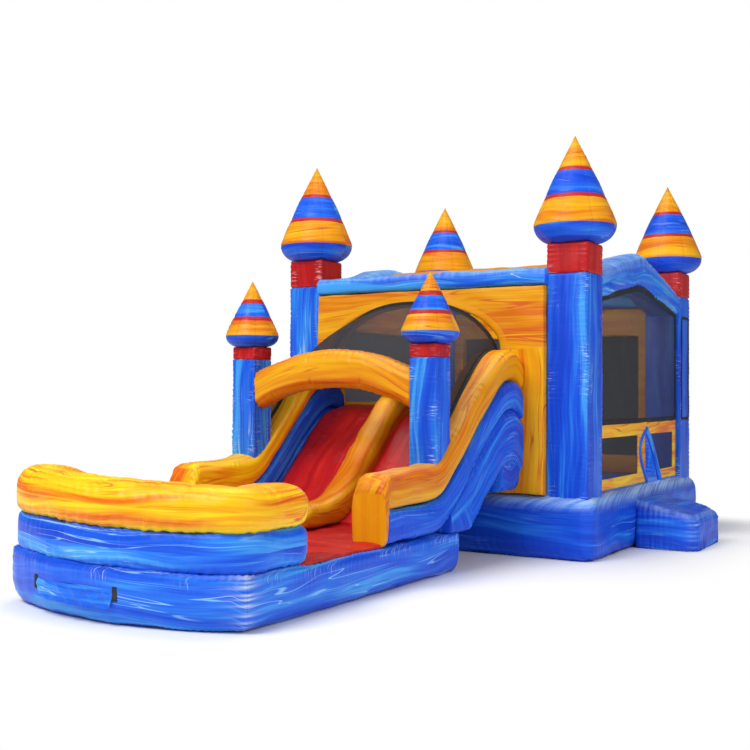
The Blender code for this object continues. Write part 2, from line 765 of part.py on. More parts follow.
def rails():
    for side, sign in (("left", -1), ("right", 1)):
        edges = sorted((SLIDE_X + sign * RAIL_INNER, SLIDE_X + sign * SLIDE_HALF))
        rail = band(f"rail_{side}", *edges, rail_stations(), PLUMP, "yellow")
        x = SLIDE_X + sign * SLIDE_COLUMN_REACH
        notch = SLIDE_COLUMN_WIDTH + 2 * GAP
        corner = COLUMN_CORNER / 2
        seat = RAIL_FLAT - GAP
        high = RAIL_PEAK + RAIL_DEPTH
        tube = band(f"side_tube_upper_{side}", *edges, tube_stations(), FULL, "blue")
        limits = (seat, high, POCKET_EDGE)
        pocket = post(f"pocket_{side}", x, SLIDE_COLUMN_Y, notch, corner, *limits, "yellow")
        cut(rail, pocket)
        cut(tube, pocket)
        band(f"side_tube_lower_{side}", *edges, lower_tube_stations(), FULL, "blue")
        support(f"slide_support_{side}", edges)


def support(name, edges):
    drop = RAIL_DEPTH + TUBE_DEPTH + LOWER_TUBE_DEPTH + 2 * GAP
    stations = []
    for y in [row for row in slope_rows() if row > SLIDE_END - SUPPORT_LENGTH]:
        stations.append((y, SUPPORT_FOOT, rail_crest(y) - drop))
    band(name, edges[0] + SUPPORT_INSET, edges[1] - SUPPORT_INSET, stations, SQUARISH, "blue")


# Slide gateway and canopy
def slide_gateway():
    edge = SLIDE_COLUMN_EDGE
    low = SLIDE_COLLAR_BOTTOM + GAP
    foot = SLIDE_COLLAR_TOP + GAP
    half = SLIDE_COLUMN_WIDTH / 2
    for side, sign in (("left", -1), ("right", 1)):
        x = SLIDE_X + sign * SLIDE_COLUMN_REACH
        y = SLIDE_COLUMN_Y
        shape = (x, y, SLIDE_COLUMN_WIDTH, COLUMN_CORNER / 2)
        post(f"slide_column_{side}", *shape, RAIL_FLAT, SLIDE_COLLAR_BOTTOM, edge, "blue")
        post(f"slide_collar_{side}", *shape, low, SLIDE_COLLAR_TOP, edge, "red")
        spire(f"slide_spire_{side}", x, y, half, foot, SLIDE_SPIRE_HEIGHT, SLIDE_SPIRE_RADIUS)


def arch_low(x):
    half = SLIDE_COLUMN_REACH - SLIDE_COLUMN_WIDTH / 2
    return ARCH_END + ARCH_RISE * (1 - (x / half) ** 2)


def slide_arch():
    half = SLIDE_COLUMN_REACH - SLIDE_COLUMN_WIDTH / 2 - GAP
    section = puffed(SLIDE_COLUMN_WIDTH / 2, ARCH_DEPTH / 2, FULL)
    rings = []
    for x in spread(-half, half, ARCH_ROWS):
        middle = arch_low(x) + ARCH_DEPTH / 2
        rings.append([(SLIDE_X + x, SLIDE_COLUMN_Y + a, middle + b) for a, b in section])
    loft("slide_arch", rings, "yellow")


def canopy_net():
    # net hood from the arched way in the wall down to the slide arch, edges on the rails
    front = CANOPY_FRONT
    half = (RAIL_INNER + SLIDE_HALF) / 2
    shares = spread(-1, 1, HOOD_COLUMNS)
    near = arch_low(0) + ARCH_DEPTH * HOOD_SEAT
    rings = []
    for y in [row for row in slope_rows() if row >= front]:
        along = (y - front) / (SLIDE_END - front)
        edge = rail_crest(y) + GAP
        top = near + (DOOR_PEAK + SKIN - near) * along
        ring = []
        for lift in (0, SKIN):
            for u in (shares if lift == 0 else reversed(shares)):
                curve = max(0, 1 - abs(u) ** HOOD_ROUND) ** HOOD_FULL
                ring.append((SLIDE_X + half * u, y, edge + lift + (top - edge) * curve))
        rings.append(ring)
    loft("canopy_net", rings, "net")


# Vent flap on the pool front
def vent_strip(name, turns, low, high, reach, kind, origin=(0, 0, 0)):
    # thin band of cloth bent round the pool front
    far = reach + WEBBING
    rings = []
    for t in turns:
        corners = ((reach, low), (far, low), (far, high), (reach, high))
        rings.append([(SLIDE_X + r * sin(t), POOL_CENTRE - r * cos(t), z) for r, z in corners])
    loft(name, rings, kind, origin)


def vent_flap():
    half = asin(VENT_WIDTH / 2 / POOL_RADIUS)
    # the middle of each facet clears the base, not only its corners
    reach = (POOL_RADIUS + GAP) / cos(half / VENT_FACETS)
    middle = asin((VENT_X - SLIDE_X) / reach)
    hinge = (SLIDE_X + reach * sin(middle), POOL_CENTRE - reach * cos(middle), VENT_TOP)
    turns = spread(middle - half, middle + half, VENT_FACETS + 1)
    vent_strip("vent_flap", turns, VENT_BOTTOM, VENT_TOP, reach, "blue", hinge)
    low = SLIDE_BASE_TOP / 2 - WEBBING
    high = VENT_TOP + VENT_TAB / 2
    for side, sign in (("left", -1), ("right", 1)):
        near = middle + sign * (half + VENT_CLEAR / reach)
        far = near + sign * VENT_TAB / reach
        vent_strip(f"vent_tab_{side}", (near, far), low, high, reach, "black")


ground_sheet()
house_base()
corner_towers()
front_wall()
beam("front_beam", WALL_FRONT, WALL_BACK)
beam("back_beam", HALF_Y - SIDE_WALL_THICK / 2, OUTER_Y)
gable("gable_left", -1)
gable("gable_right", 1)
roof_sheet()
left_wall()
back_wall()
entrance_net()
entry_flaps()
banner_strip()
entry_step()
climb_ramp()
inlet_sleeve()
slide_base()
landing_floor()
pool_walls()
lanes()
rails()
slide_gateway()
slide_arch()
canopy_net()
vent_flap()
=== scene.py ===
from math import asin, cos, pi, radians, sin, sqrt
import bmesh
import bpy
import numpy as np
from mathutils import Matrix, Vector


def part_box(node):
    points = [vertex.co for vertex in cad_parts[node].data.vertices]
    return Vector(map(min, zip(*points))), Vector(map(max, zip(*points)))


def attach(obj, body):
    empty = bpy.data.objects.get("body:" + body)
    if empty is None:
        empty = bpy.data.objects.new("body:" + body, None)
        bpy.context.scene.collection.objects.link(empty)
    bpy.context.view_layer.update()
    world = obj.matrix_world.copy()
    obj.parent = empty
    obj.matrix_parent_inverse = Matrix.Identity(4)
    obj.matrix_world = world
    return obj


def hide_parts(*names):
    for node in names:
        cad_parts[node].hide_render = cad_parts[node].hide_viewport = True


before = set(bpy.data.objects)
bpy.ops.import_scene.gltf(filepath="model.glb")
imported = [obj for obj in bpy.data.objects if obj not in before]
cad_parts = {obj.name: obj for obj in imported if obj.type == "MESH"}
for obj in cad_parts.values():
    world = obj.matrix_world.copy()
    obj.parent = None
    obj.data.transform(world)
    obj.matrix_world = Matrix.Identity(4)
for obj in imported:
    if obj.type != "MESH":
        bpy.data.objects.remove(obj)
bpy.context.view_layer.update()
print("frame loaded,", len(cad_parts), "nodes")

camera = {
    "place": (6.015, -12.886, 1.776),
    "turn": (90.997, -0.332, 31.536),
    "lens": 52.274,
    "sensor": 36,
    "shift": (0.0011, -0.0036),
}


def makeCamera():
    data = bpy.data.cameras.new("camera")
    data.lens = camera["lens"]
    data.sensor_width = camera["sensor"]
    data.shift_x, data.shift_y = camera["shift"]
    made = bpy.data.objects.new("camera", data)
    made.location = camera["place"]
    made.rotation_euler = [radians(angle) for angle in camera["turn"]]
    bpy.context.scene.collection.objects.link(made)
    bpy.context.scene.camera = made


makeCamera()
print("camera set")


class Wire:
    # one output socket; sums and products of wires add Math nodes

    def __init__(self, finish, socket):
        self.finish = finish
        self.socket = socket

    def math(self, operation, first, second=0.0):
        return self.finish.node("ShaderNodeMath", {"operation": operation}, {0: first, 1: second})

    def __add__(self, other):
        return self.math("ADD", self, other)

    __radd__ = __add__

    def __sub__(self, other):
        return self.math("SUBTRACT", self, other)

    def __rsub__(self, other):
        return self.math("SUBTRACT", other, self)

    def __mul__(self, other):
        return self.math("MULTIPLY", self, other)

    __rmul__ = __mul__

    def __abs__(self):
        return self.math("ABSOLUTE", self)

    def sine(self):
        return self.math("SINE", self)

    def fraction(self):
        return self.math("FRACT", self)

    def larger(self, other):
        return self.math("MAXIMUM", self, other)

    def smaller(self, other):
        return self.math("MINIMUM", self, other)


class Finish:
    # the nodes of one material, or of the world

    def __init__(self, name, owner=None):
        self.material = owner or bpy.data.materials.new(name)
        self.material.use_nodes = True
        self.tree = self.material.node_tree

    def plug(self, socket, value):
        if isinstance(value, Wire):
            self.tree.links.new(value.socket, socket)
        else:
            socket.default_value = value

    def node(self, kind, settings=None, sockets=None, output=0):
        made = self.tree.nodes.new(kind)
        for key, value in (settings or {}).items():
            if key == "stops":
                ramp = made.color_ramp
                while len(ramp.elements) < len(value):
                    ramp.elements.new(1)
                for element, (place, colour) in zip(ramp.elements, value):
                    element.position = place
                    element.color = (*colour, 1)
            elif key == "steps":
                made.color_ramp.interpolation = value
            else:
                setattr(made, key, value)
        for key, value in (sockets or {}).items():
            self.plug(made.inputs[key], value)
        return Wire(self, made.outputs[output])

    def mix(self, share, first, second):
        colours = [c if isinstance(c, Wire) else (*c, 1) for c in (first, second)]
        sockets = {0: share, 6: colours[0], 7: colours[1]}
        return self.node("ShaderNodeMix", {"data_type": "RGBA"}, sockets, 2)

    def vector(self, operation, first, second):
        return self.node("ShaderNodeVectorMath", {"operation": operation}, {0: first, 1: second})

    def noise(self, place, scale, detail=2.0, rough=0.5, bend=0.0):
        # scale is a count per metre along and across
        sockets = {"Scale": 1.0, "Detail": detail, "Roughness": rough, "Distortion": bend}
        sockets["Vector"] = self.vector("MULTIPLY", place, (*scale, 1.0))
        return self.node("ShaderNodeTexNoise", {"noise_dimensions": "2D"}, sockets)

    def smooth(self, value, low, high):
        sockets = {"Value": value, "From Min": low, "From Max": high}
        return self.node("ShaderNodeMapRange", {"interpolation_type": "SMOOTHSTEP"}, sockets)

    def flow(self):
        return self.node("ShaderNodeUVMap", {"uv_map": "flow"})

    def split(self, vector):
        parts = self.node("ShaderNodeSeparateXYZ", {}, {0: vector})
        return parts, Wire(self, parts.socket.node.outputs[1])

    def point(self, name):
        return self.node("ShaderNodeAttribute", {"attribute_name": name}, {}, 2)

    def set(self, **sockets):
        shader = self.tree.nodes["Principled BSDF"]
        for key, value in sockets.items():
            self.plug(shader.inputs[key.replace("_", " ")], value)
        return Wire(self, shader.outputs[0])

    def show(self, shader):
        for node in self.tree.nodes:
            if node.type.startswith("OUTPUT"):
                self.plug(node.inputs["Surface"], shader)


# printed vinyl: broad bands, finer streaks and a few thin veins, all running along the print
blueTones = (
    (0.22, (0.004, 0.055, 0.58)),
    (0.40, (0.006, 0.076, 0.66)),
    (0.54, (0.010, 0.106, 0.74)),
    (0.70, (0.018, 0.180, 0.79)),
    (0.86, (0.050, 0.340, 0.86)),
)
vinyl = {
    "blue": {"tones": blueTones, "lift": 0.0, "vein": (0.20, 0.50, 0.90), "veins": 0.40},
    "deepBlue": {"tones": blueTones, "lift": -0.08, "vein": (0.28, 0.60, 0.92), "veins": 0.50},
    "poolBlue": {"tones": blueTones, "lift": 0.10, "vein": (0.34, 0.68, 0.95), "veins": 0.65},
    "paleBlue": {"tones": blueTones, "lift": 0.26, "vein": (0.52, 0.78, 0.96), "veins": 0.60},
    "yellow": {
        "tones": (
            (0.24, (0.78, 0.150, 0.004)),
            (0.36, (0.86, 0.310, 0.004)),
            (0.50, (0.92, 0.480, 0.005)),
            (0.66, (0.95, 0.600, 0.006)),
            (0.82, (0.97, 0.720, 0.008)),
        ),
        "lift": 0.0,
        "vein": (0.70, 0.080, 0.010),
        "veins": 0.90,
        "thin": (0.030, 0.004),
    },
    "gold": {
        "tones": (
            (0.24, (0.66, 0.150, 0.003)),
            (0.36, (0.71, 0.230, 0.003)),
            (0.50, (0.75, 0.300, 0.004)),
            (0.66, (0.79, 0.360, 0.005)),
            (0.82, (0.83, 0.430, 0.007)),
        ),
        "lift": 0.0,
        "vein": (0.62, 0.085, 0.012),
        "veins": 0.90,
        "thin": (0.030, 0.004),
    },
    "red": {
        "tones": (
            (0.30, (0.400, 0.006, 0.009)),
            (0.45, (0.460, 0.008, 0.011)),
            (0.55, (0.500, 0.010, 0.012)),
            (0.70, (0.540, 0.015, 0.014)),
            (0.85, (0.600, 0.026, 0.020)),
        ),
        "lift": 0.0,
        "vein": (0.25, 0.005, 0.010),
        "veins": 0.20,
    },
}
# pairs are counts per metre along and across; a grain is a noise's detail, roughness and bend
marble = {
    "sway": 0.20,
    "swayScale": (0.8, 1.1),
    "broad": (0.42, 6.5),
    "broadGrain": (3.0, 0.5, 0.2),
    "broadShare": 1.25,
    "fine": (1.0, 24.0),
    "fineGrain": (3.0, 0.55, 0.3),
    "fineShare": 0.75,
    "line": (0.40, 11.0),
    "lineGrain": (2.0, 0.5, 0.4),
    "thin": (0.016, 0.003),
    "patch": (0.9, 3.2),
    "patchEdge": (0.42, 0.62),
}
gloss = {
    "rough": 0.27,
    "spread": 0.16,
    "sheen": 0.20,
    "coat": (0.05, 0.18),
    "crinkle": 0.30,
    "crease": (22.0, 22.0),
    "creaseGrain": (3.0, 0.55, 1.2),
    "weave": 0.06,
    "weavePitch": 0.004,
    "seamWide": 0.007,
    "seamDark": (0.13, 0.10),
    "seamShade": (0.25, 0.22, 0.25),
    "stitch": 0.009,
    "stitchEdge": (-0.2, 0.3),
    "tuck": (75.0, 8.0),
    "tuckEdge": (0.55, 0.80),
    "tuckReach": 0.15,
    # the tuck glints and the corner glints are painted highlights, mixed in the glint colour
    "tuckGlint": 0.24,
    "tuckGlintGain": (0.3, 2.4),
    "tuckPatch": (2.2, 2.2),
    "tuckPatchEdge": (0.45, 0.65),
    "rib": (16.0, 2.0),
    "ribEdge": (0.30, 0.66),
    "ribShare": 0.65,
    # gleam and pale: strength and colour of the painted reflection on upward panels
    "gleam": 0.90,
    "pale": (0.42, 0.64, 0.93),
    "pinch": 0.85,
    "glint": (0.80, 0.86, 0.92),
    "bump": {"Strength": 0.35, "Distance": 0.006},
    "relief": {"tuck": 0.5, "gleam": 0.8, "seam": 0.8},
}


def printColour(finish, place, look):
    drift = finish.noise(place, marble["swayScale"], 1.0)
    sideways = finish.node("ShaderNodeCombineXYZ", {}, {"Y": (drift - 0.5) * marble["sway"]})
    bent = finish.vector("ADD", place, sideways)
    broad = finish.noise(bent, marble["broad"], *marble["broadGrain"])
    fine = finish.noise(bent, marble["fine"], *marble["fineGrain"])
    tone = (broad - 0.5) * marble["broadShare"] + (fine - 0.5) * marble["fineShare"]
    tone = tone + (0.5 + look["lift"])
    colour = finish.node("ShaderNodeValToRGB", {"stops": look["tones"]}, {0: tone})
    line = abs(finish.noise(bent, marble["line"], *marble["lineGrain"]) - 0.5)
    here = finish.smooth(finish.noise(place, marble["patch"], 1.0), *marble["patchEdge"])
    vein = finish.smooth(line, *look.get("thin", marble["thin"])) * here * look["veins"]
    return finish.mix(vein, colour, look["vein"]), fine


def vinylSkin(finish, place, colour, fine):
    # seam line with its stitches, small tucks beside it, creased film over a woven backing, uneven gloss;
    # painted highlights: pale glints mixed into the colour on the tucks and at the corner strokes
    along, across = finish.split(place)
    seam = finish.point("seam")
    stitch = finish.smooth((along * (2 * pi / gloss["stitch"])).sine(), *gloss["stitchEdge"])
    plain, sewn = gloss["seamDark"]
    line = finish.smooth(seam, gloss["seamWide"], gloss["seamWide"] / 2) * (plain + sewn * stitch)
    some = finish.smooth(finish.noise(place, gloss["tuckPatch"], 1.0), *gloss["tuckPatchEdge"])
    tuck = finish.smooth(finish.noise(place, gloss["tuck"], 2.0), *gloss["tuckEdge"])
    tuck = tuck * finish.smooth(seam, gloss["tuckReach"], 0.0) * some
    # painted reflection: upward panels get a paler, ribbed gleam mixed into their colour; the ribs also go
    # into the bump
    rib = finish.smooth(finish.noise(place, gloss["rib"], 2.0), *gloss["ribEdge"])
    gleam = finish.point("gleam") * ((1 - gloss["ribShare"]) + gloss["ribShare"] * rib)
    lit = finish.mix(gleam * gloss["gleam"], colour, gloss["pale"])
    # painted highlight: pale glint colour mixed in on the tucks, more on pieces set for glints, and along the
    # corner strokes
    least, gain = gloss["tuckGlintGain"]
    strength = gloss["tuckGlint"] * (least + gain * finish.point("pucker"))
    glintMask = (tuck * strength).larger(finish.point("pinch") * gloss["pinch"])
    pale = finish.mix(glintMask, lit, gloss["glint"])
    dark = finish.node(
        "ShaderNodeMix",
        {"data_type": "RGBA", "blend_type": "MULTIPLY"},
        {0: line, 6: pale, 7: (*gloss["seamShade"], 1)},
        2,
    )
    crease = finish.noise(place, gloss["crease"], *gloss["creaseGrain"])
    turn = 2 * pi / gloss["weavePitch"]
    weave = (along * turn).sine() * (across * turn).sine()
    relief = gloss["relief"]
    height = crease * gloss["crinkle"] + weave * gloss["weave"]
    height = height + tuck * relief["tuck"] + gleam * relief["gleam"] - line * relief["seam"]
    bump = finish.node("ShaderNodeBump", {}, {**gloss["bump"], "Height": height})
    rough = gloss["rough"] + fine * gloss["spread"]
    finish.set(Base_Color=dark, Roughness=rough, Normal=bump, Specular_IOR_Level=gloss["sheen"])
    finish.set(Coat_Weight=gloss["coat"][0], Coat_Roughness=gloss["coat"][1])


def plainVinyl(name, kind):
    finish = Finish(name)
    place = finish.flow()
    colour, fine = printColour(finish, place, vinyl[kind])
    vinylSkin(finish, place, colour, fine)
    return finish.material


# bands of a spire, as shares of its height from the tip: where the blue and the red begin and end
spireBands = {
    "house": {"blue": (0.335, 0.56, 0.838), "red": (0.30, 0.335, 0.56, 0.60)},
    "slide": {"blue": (0.34, 0.54, 0.832), "red": (0.27, 0.34, 0.54, 0.60)},
    "redTone": (0.46, 0.016, 0.016),
}


def bandedVinyl(name, bands):
    finish = Finish(name)
    place = finish.flow()
    share = finish.point("share")
    yellow, fine = printColour(finish, place, vinyl["gold"])
    blue = printColour(finish, place, vinyl["blue"])[0]
    black, white = (0, 0, 0), (1, 1, 1)
    first, last, bowl = bands["blue"]
    stops = ((0, black), (first, white), (last, black), (bowl, white))
    isBlue = finish.node("ShaderNodeValToRGB", {"stops": stops, "steps": "CONSTANT"}, {0: share})
    edges = bands["red"]
    stops = ((0, black), (edges[0], white), (edges[1], black), (edges[2], white), (edges[3], black))
    isRed = finish.node("ShaderNodeValToRGB", {"stops": stops, "steps": "CONSTANT"}, {0: share})
    colour = finish.mix(isRed, finish.mix(isBlue, yellow, blue), spireBands["redTone"])
    vinylSkin(finish, place, colour, fine)
    return finish.material


# lighter band sewn round the front wall's opening; its edge is given in metres from the opening
wallTrim = {"colour": (0.86, 0.36, 0.006), "share": 0.55, "edge": (0.098, 0.102)}


def trimmedVinyl(name):
    finish = Finish(name)
    place = finish.flow()
    gold, fine = printColour(finish, place, vinyl["gold"])
    light = finish.mix(wallTrim["share"], gold, wallTrim["colour"])
    colour = finish.mix(finish.smooth(finish.point("edge"), *wallTrim["edge"]), light, gold)
    vinylSkin(finish, place, colour, fine)
    return finish.material


# cover is the share hidden by a mesh and by its cords; the side and back window nets take the near-opaque
# cover, which darkens the room behind them as painted shade
net = {
    "pitch": 0.012,
    "cord": 0.50,
    "soft": 0.06,
    "cover": (0.56, 0.92),
    "shadeCover": (0.96, 0.99),
    "colour": (0.016, 0.017, 0.021),
    "rough": 0.75,
    "bump": {"Strength": 0.3, "Distance": 0.002},
}


def netFinish(name, cover):
    finish = Finish(name)
    along, across = finish.split(finish.flow())
    lines = []
    for axis in (along, across):
        lines.append(abs((axis * (1 / net["pitch"])).fraction() - 0.5) * 2)
    edge = 1 - net["cord"]
    cord = finish.smooth(lines[0].larger(lines[1]), edge - net["soft"], edge + net["soft"])
    alpha = cover[0] + cord * (cover[1] - cover[0])
    knot = lines[0].smaller(lines[1])
    bump = finish.node("ShaderNodeBump", {}, {**net["bump"], "Height": knot})
    finish.set(Base_Color=(*net["colour"], 1), Roughness=net["rough"], Alpha=alpha, Normal=bump)
    return finish.material


webbing = {
    "colour": (0.012, 0.012, 0.014),
    "worn": (0.030, 0.030, 0.033),
    "dust": (9.0, 9.0),
    "dustEdge": (0.45, 0.75),
    "rib": 0.0035,
    "rough": 0.8,
    "bump": {"Strength": 0.4, "Distance": 0.001},
}


def webbingFinish(name):
    finish = Finish(name)
    place = finish.flow()
    along, across = finish.split(place)
    dust = finish.smooth(finish.noise(place, webbing["dust"], 3.0), *webbing["dustEdge"])
    colour = finish.mix(dust, webbing["colour"], webbing["worn"])
    turn = 2 * pi / webbing["rib"]
    rib = (along * turn).sine() + (across * turn).sine()
    bump = finish.node("ShaderNodeBump", {}, {**webbing["bump"], "Height": rib})
    finish.set(Base_Color=colour, Roughness=webbing["rough"], Normal=bump)
    return finish.material


blueVinyl = plainVinyl("blueVinyl", "blue")
deepVinyl = plainVinyl("deepVinyl", "deepBlue")
poolVinyl = plainVinyl("poolVinyl", "poolBlue")
trimVinyl = plainVinyl("trimVinyl", "paleBlue")
yellowVinyl = plainVinyl("yellowVinyl", "yellow")
goldVinyl = plainVinyl("goldVinyl", "gold")
redVinyl = plainVinyl("redVinyl", "red")
houseBands = bandedVinyl("houseBands", spireBands["house"])
slideBands = bandedVinyl("slideBands", spireBands["slide"])
trimmedWall = trimmedVinyl("trimmedWall")
blackNet = netFinish("blackNet", net["cover"])
shadeNet = netFinish("shadeNet", net["shadeCover"])
blackWebbing = webbingFinish("blackWebbing")
print("finishes made")


def waves(points, seed, shortest, longest, count=12):
    # smooth lumps, about -1 to 1: plane waves of mixed directions and lengths
    rng = np.random.default_rng(seed)
    total = np.zeros(points.shape[:-1])
    for _ in range(count):
        way = rng.normal(size=3)
        way *= 2 * pi / rng.uniform(shortest, longest) / np.linalg.norm(way)
        total += np.sin(points @ way + rng.uniform(0, 2 * pi))
    return total / sqrt(count)


gather = {"spread": (0.6, 1.7), "fade": 11, "least": 0.35}


def gathers(along, seed, pitch, count=7):
    # uneven ridges along a seam, which come and go
    rng = np.random.default_rng(seed)
    total = np.zeros(along.shape)
    for _ in range(count):
        length = pitch * rng.uniform(*gather["spread"])
        total += np.sin(along * (2 * pi / length) + rng.uniform(0, 2 * pi))
    fade = 0.5 + 0.5 * np.sin(along * (2 * pi / (pitch * gather["fade"])) + rng.uniform(0, 2 * pi))
    return total / sqrt(count) * (gather["least"] + (1 - gather["least"]) * fade)


def evenLoop(points, count):
    # the same closed outline with its points evenly spaced
    points = np.asarray(points, float)
    closed = np.vstack([points, points[:1]])
    run = np.concatenate([[0], np.cumsum(np.linalg.norm(np.diff(closed, axis=0), axis=1))])
    at = np.arange(count) / count * run[-1]
    return np.stack([np.interp(at, run, closed[:, k]) for k in range(points.shape[1])], axis=1)


def evenLine(points, count):
    points = np.asarray(points, float)
    run = np.concatenate([[0], np.cumsum(np.linalg.norm(np.diff(points, axis=0), axis=1))])
    at = np.linspace(0, run[-1], count)
    return np.stack([np.interp(at, run, points[:, k]) for k in range(points.shape[1])], axis=1)


def roundCorners(corners, radius, steps=6, part=2.2):
    # closed outline with each corner turned on about that radius, within its part of the sides
    corners = [np.asarray(c, float) for c in corners]
    points = []
    for i, corner in enumerate(corners):
        back = corners[i - 1] - corner
        ahead = corners[(i + 1) % len(corners)] - corner
        reach = min(radius, np.linalg.norm(back) / part, np.linalg.norm(ahead) / part)
        start = corner + back / np.linalg.norm(back) * reach
        end = corner + ahead / np.linalg.norm(ahead) * reach
        for t in np.linspace(0, 1, steps):
            points.append((1 - t) ** 2 * start + 2 * t * (1 - t) * corner + t * t * end)
    return points


def puffed(count, power, fine=720):
    # full section, one unit each way; it starts at the middle of its first side
    turns = np.linspace(0, 2 * pi, fine, endpoint=False)
    a = np.sign(np.cos(turns)) * np.abs(np.cos(turns)) ** power
    b = np.sign(np.sin(turns)) * np.abs(np.sin(turns)) ** power
    return evenLoop(np.stack([a, b], axis=1), count)


def outward(rings, loop):
    # unit normals of a grid of rings, pointing out of the rings
    if loop:
        along = np.roll(rings, -1, 0) - np.roll(rings, 1, 0)
    else:
        along = np.gradient(rings, axis=0)
    around = np.roll(rings, -1, 1) - np.roll(rings, 1, 1)
    normals = np.cross(around, along)
    normals /= np.maximum(np.linalg.norm(normals, axis=2, keepdims=True), 1e-9)
    offset = rings - rings.mean(axis=1, keepdims=True)
    return normals if (normals * offset).sum() > 0 else -normals


def gap(values, mark, whole):
    # the shorter way round to a mark on a loop
    away = np.abs(values - mark)
    return np.minimum(away, np.abs(whole - away))


# lumps are the lengths of the slow lumps; a tube thinner than the girth moves less
# noSeam is a distance beyond any seam's reach, closing the print's step where a loop meets itself
puff = {"lumps": (0.22, 0.8), "girth": 0.9, "noSeam": 9.0, "closing": 0.05, "capRim": 0.02}


def inflate(rings, look, loop=False):
    # draws the seams in, gathers the cloth beside them and adds slow lumps
    step = np.linalg.norm(np.diff(rings, axis=0), axis=2)
    run = np.concatenate([np.zeros((1, rings.shape[1])), np.cumsum(step, axis=0)])
    side = np.linalg.norm(np.roll(rings, -1, 1) - rings, axis=2)
    lap = np.cumsum(side, axis=1) - side
    whole = side.sum(axis=1, keepdims=True)
    seed = look["seed"]
    reach = look["reach"]
    pitch = look["pitch"]
    crease = look["crease"]
    draw = look["draw"]
    push = waves(rings, seed, *puff["lumps"]) * look["lumps"]
    seam = np.full(rings.shape[:2], puff["noSeam"])
    for k, column in enumerate(look.get("seamColumns", ())):
        away = gap(lap, lap[:, column:column + 1], whole)
        near = np.exp(-away / reach)
        push += near * (crease * gathers(run, seed + 31 * k + 7, pitch) - draw)
        seam = np.minimum(seam, away)
    for k, ring in enumerate(look.get("seamRings", ())):
        away = np.abs(run - run[ring])
        near = np.exp(-away / reach)
        push += near * (crease * gathers(lap, seed + 57 * k + 3, pitch) - draw)
        seam = np.minimum(seam, away)
    if not loop and look.get("ends", True):
        for k, ring in enumerate((0, -1)):
            near = np.exp(-np.abs(run - run[ring]) / reach)
            push += near * crease * gathers(lap, seed + 91 * k + 5, pitch)
    push *= np.clip(whole / puff["girth"], 0, 1)
    push *= look.get("where", 1.0)
    return rings + outward(rings, loop) * push[:, :, None], run, lap, whole, seam


def domed(rings, ends, steps=6):
    # closes the two ends with domes of the given heights
    rows = [rings]
    for end, height in zip((0, -1), ends):
        ring = rings[end]
        centre = ring.mean(axis=0)
        inner = rings[1 if end == 0 else -2].mean(axis=0)
        way = (centre - inner) / np.linalg.norm(centre - inner)
        made = []
        for t in np.linspace(0, pi / 2, steps + 1)[1:-1]:
            made.append(centre + (ring - centre) * cos(t) + way * height * sin(t))
        made.append(centre + (ring - centre) * puff["capRim"] + way * height)
        made = np.array(made)
        rows = [made[::-1], *rows] if end == 0 else [*rows, made]
    return np.concatenate(rows), steps


def meshOf(name, points, faces, uvs, values):
    mesh = bpy.data.meshes.new(name)
    mesh.from_pydata(points.tolist(), [], faces)
    layer = mesh.uv_layers.new(name="flow")
    layer.data.foreach_set("uv", np.asarray(uvs, np.float32).ravel())
    for key, numbers in values.items():
        attribute = mesh.attributes.new(key, "FLOAT", "POINT")
        attribute.data.foreach_set("value", np.asarray(numbers, np.float32).ravel())
    mesh.shade_smooth()
    mesh.update()
    piece = bpy.data.objects.new(f"{name}_skin", mesh)
    bpy.context.scene.collection.objects.link(piece)
    return piece


def gridFaces(rows, columns, loop, wrap):
    faces = []
    for r in range(rows if loop else rows - 1):
        s = (r + 1) % rows
        for i in range(columns if wrap else columns - 1):
            j = (i + 1) % columns
            faces.append((r * columns + i, r * columns + j, s * columns + j, s * columns + i))
    return faces


def facing(piece):
    # turns every face outward
    bm = bmesh.new()
    bm.from_mesh(piece.data)
    bmesh.ops.recalc_face_normals(bm, faces=bm.faces)
    bm.to_mesh(piece.data)
    bm.free()


def planar(points, way, steep=0.7):
    # the print on an end, laid flat and running up it
    up = np.array((0.0, 0.0, 1.0) if abs(way[2]) < steep else (0.0, 1.0, 0.0))
    return np.stack([points @ up, points @ np.cross(way, up)], axis=-1)


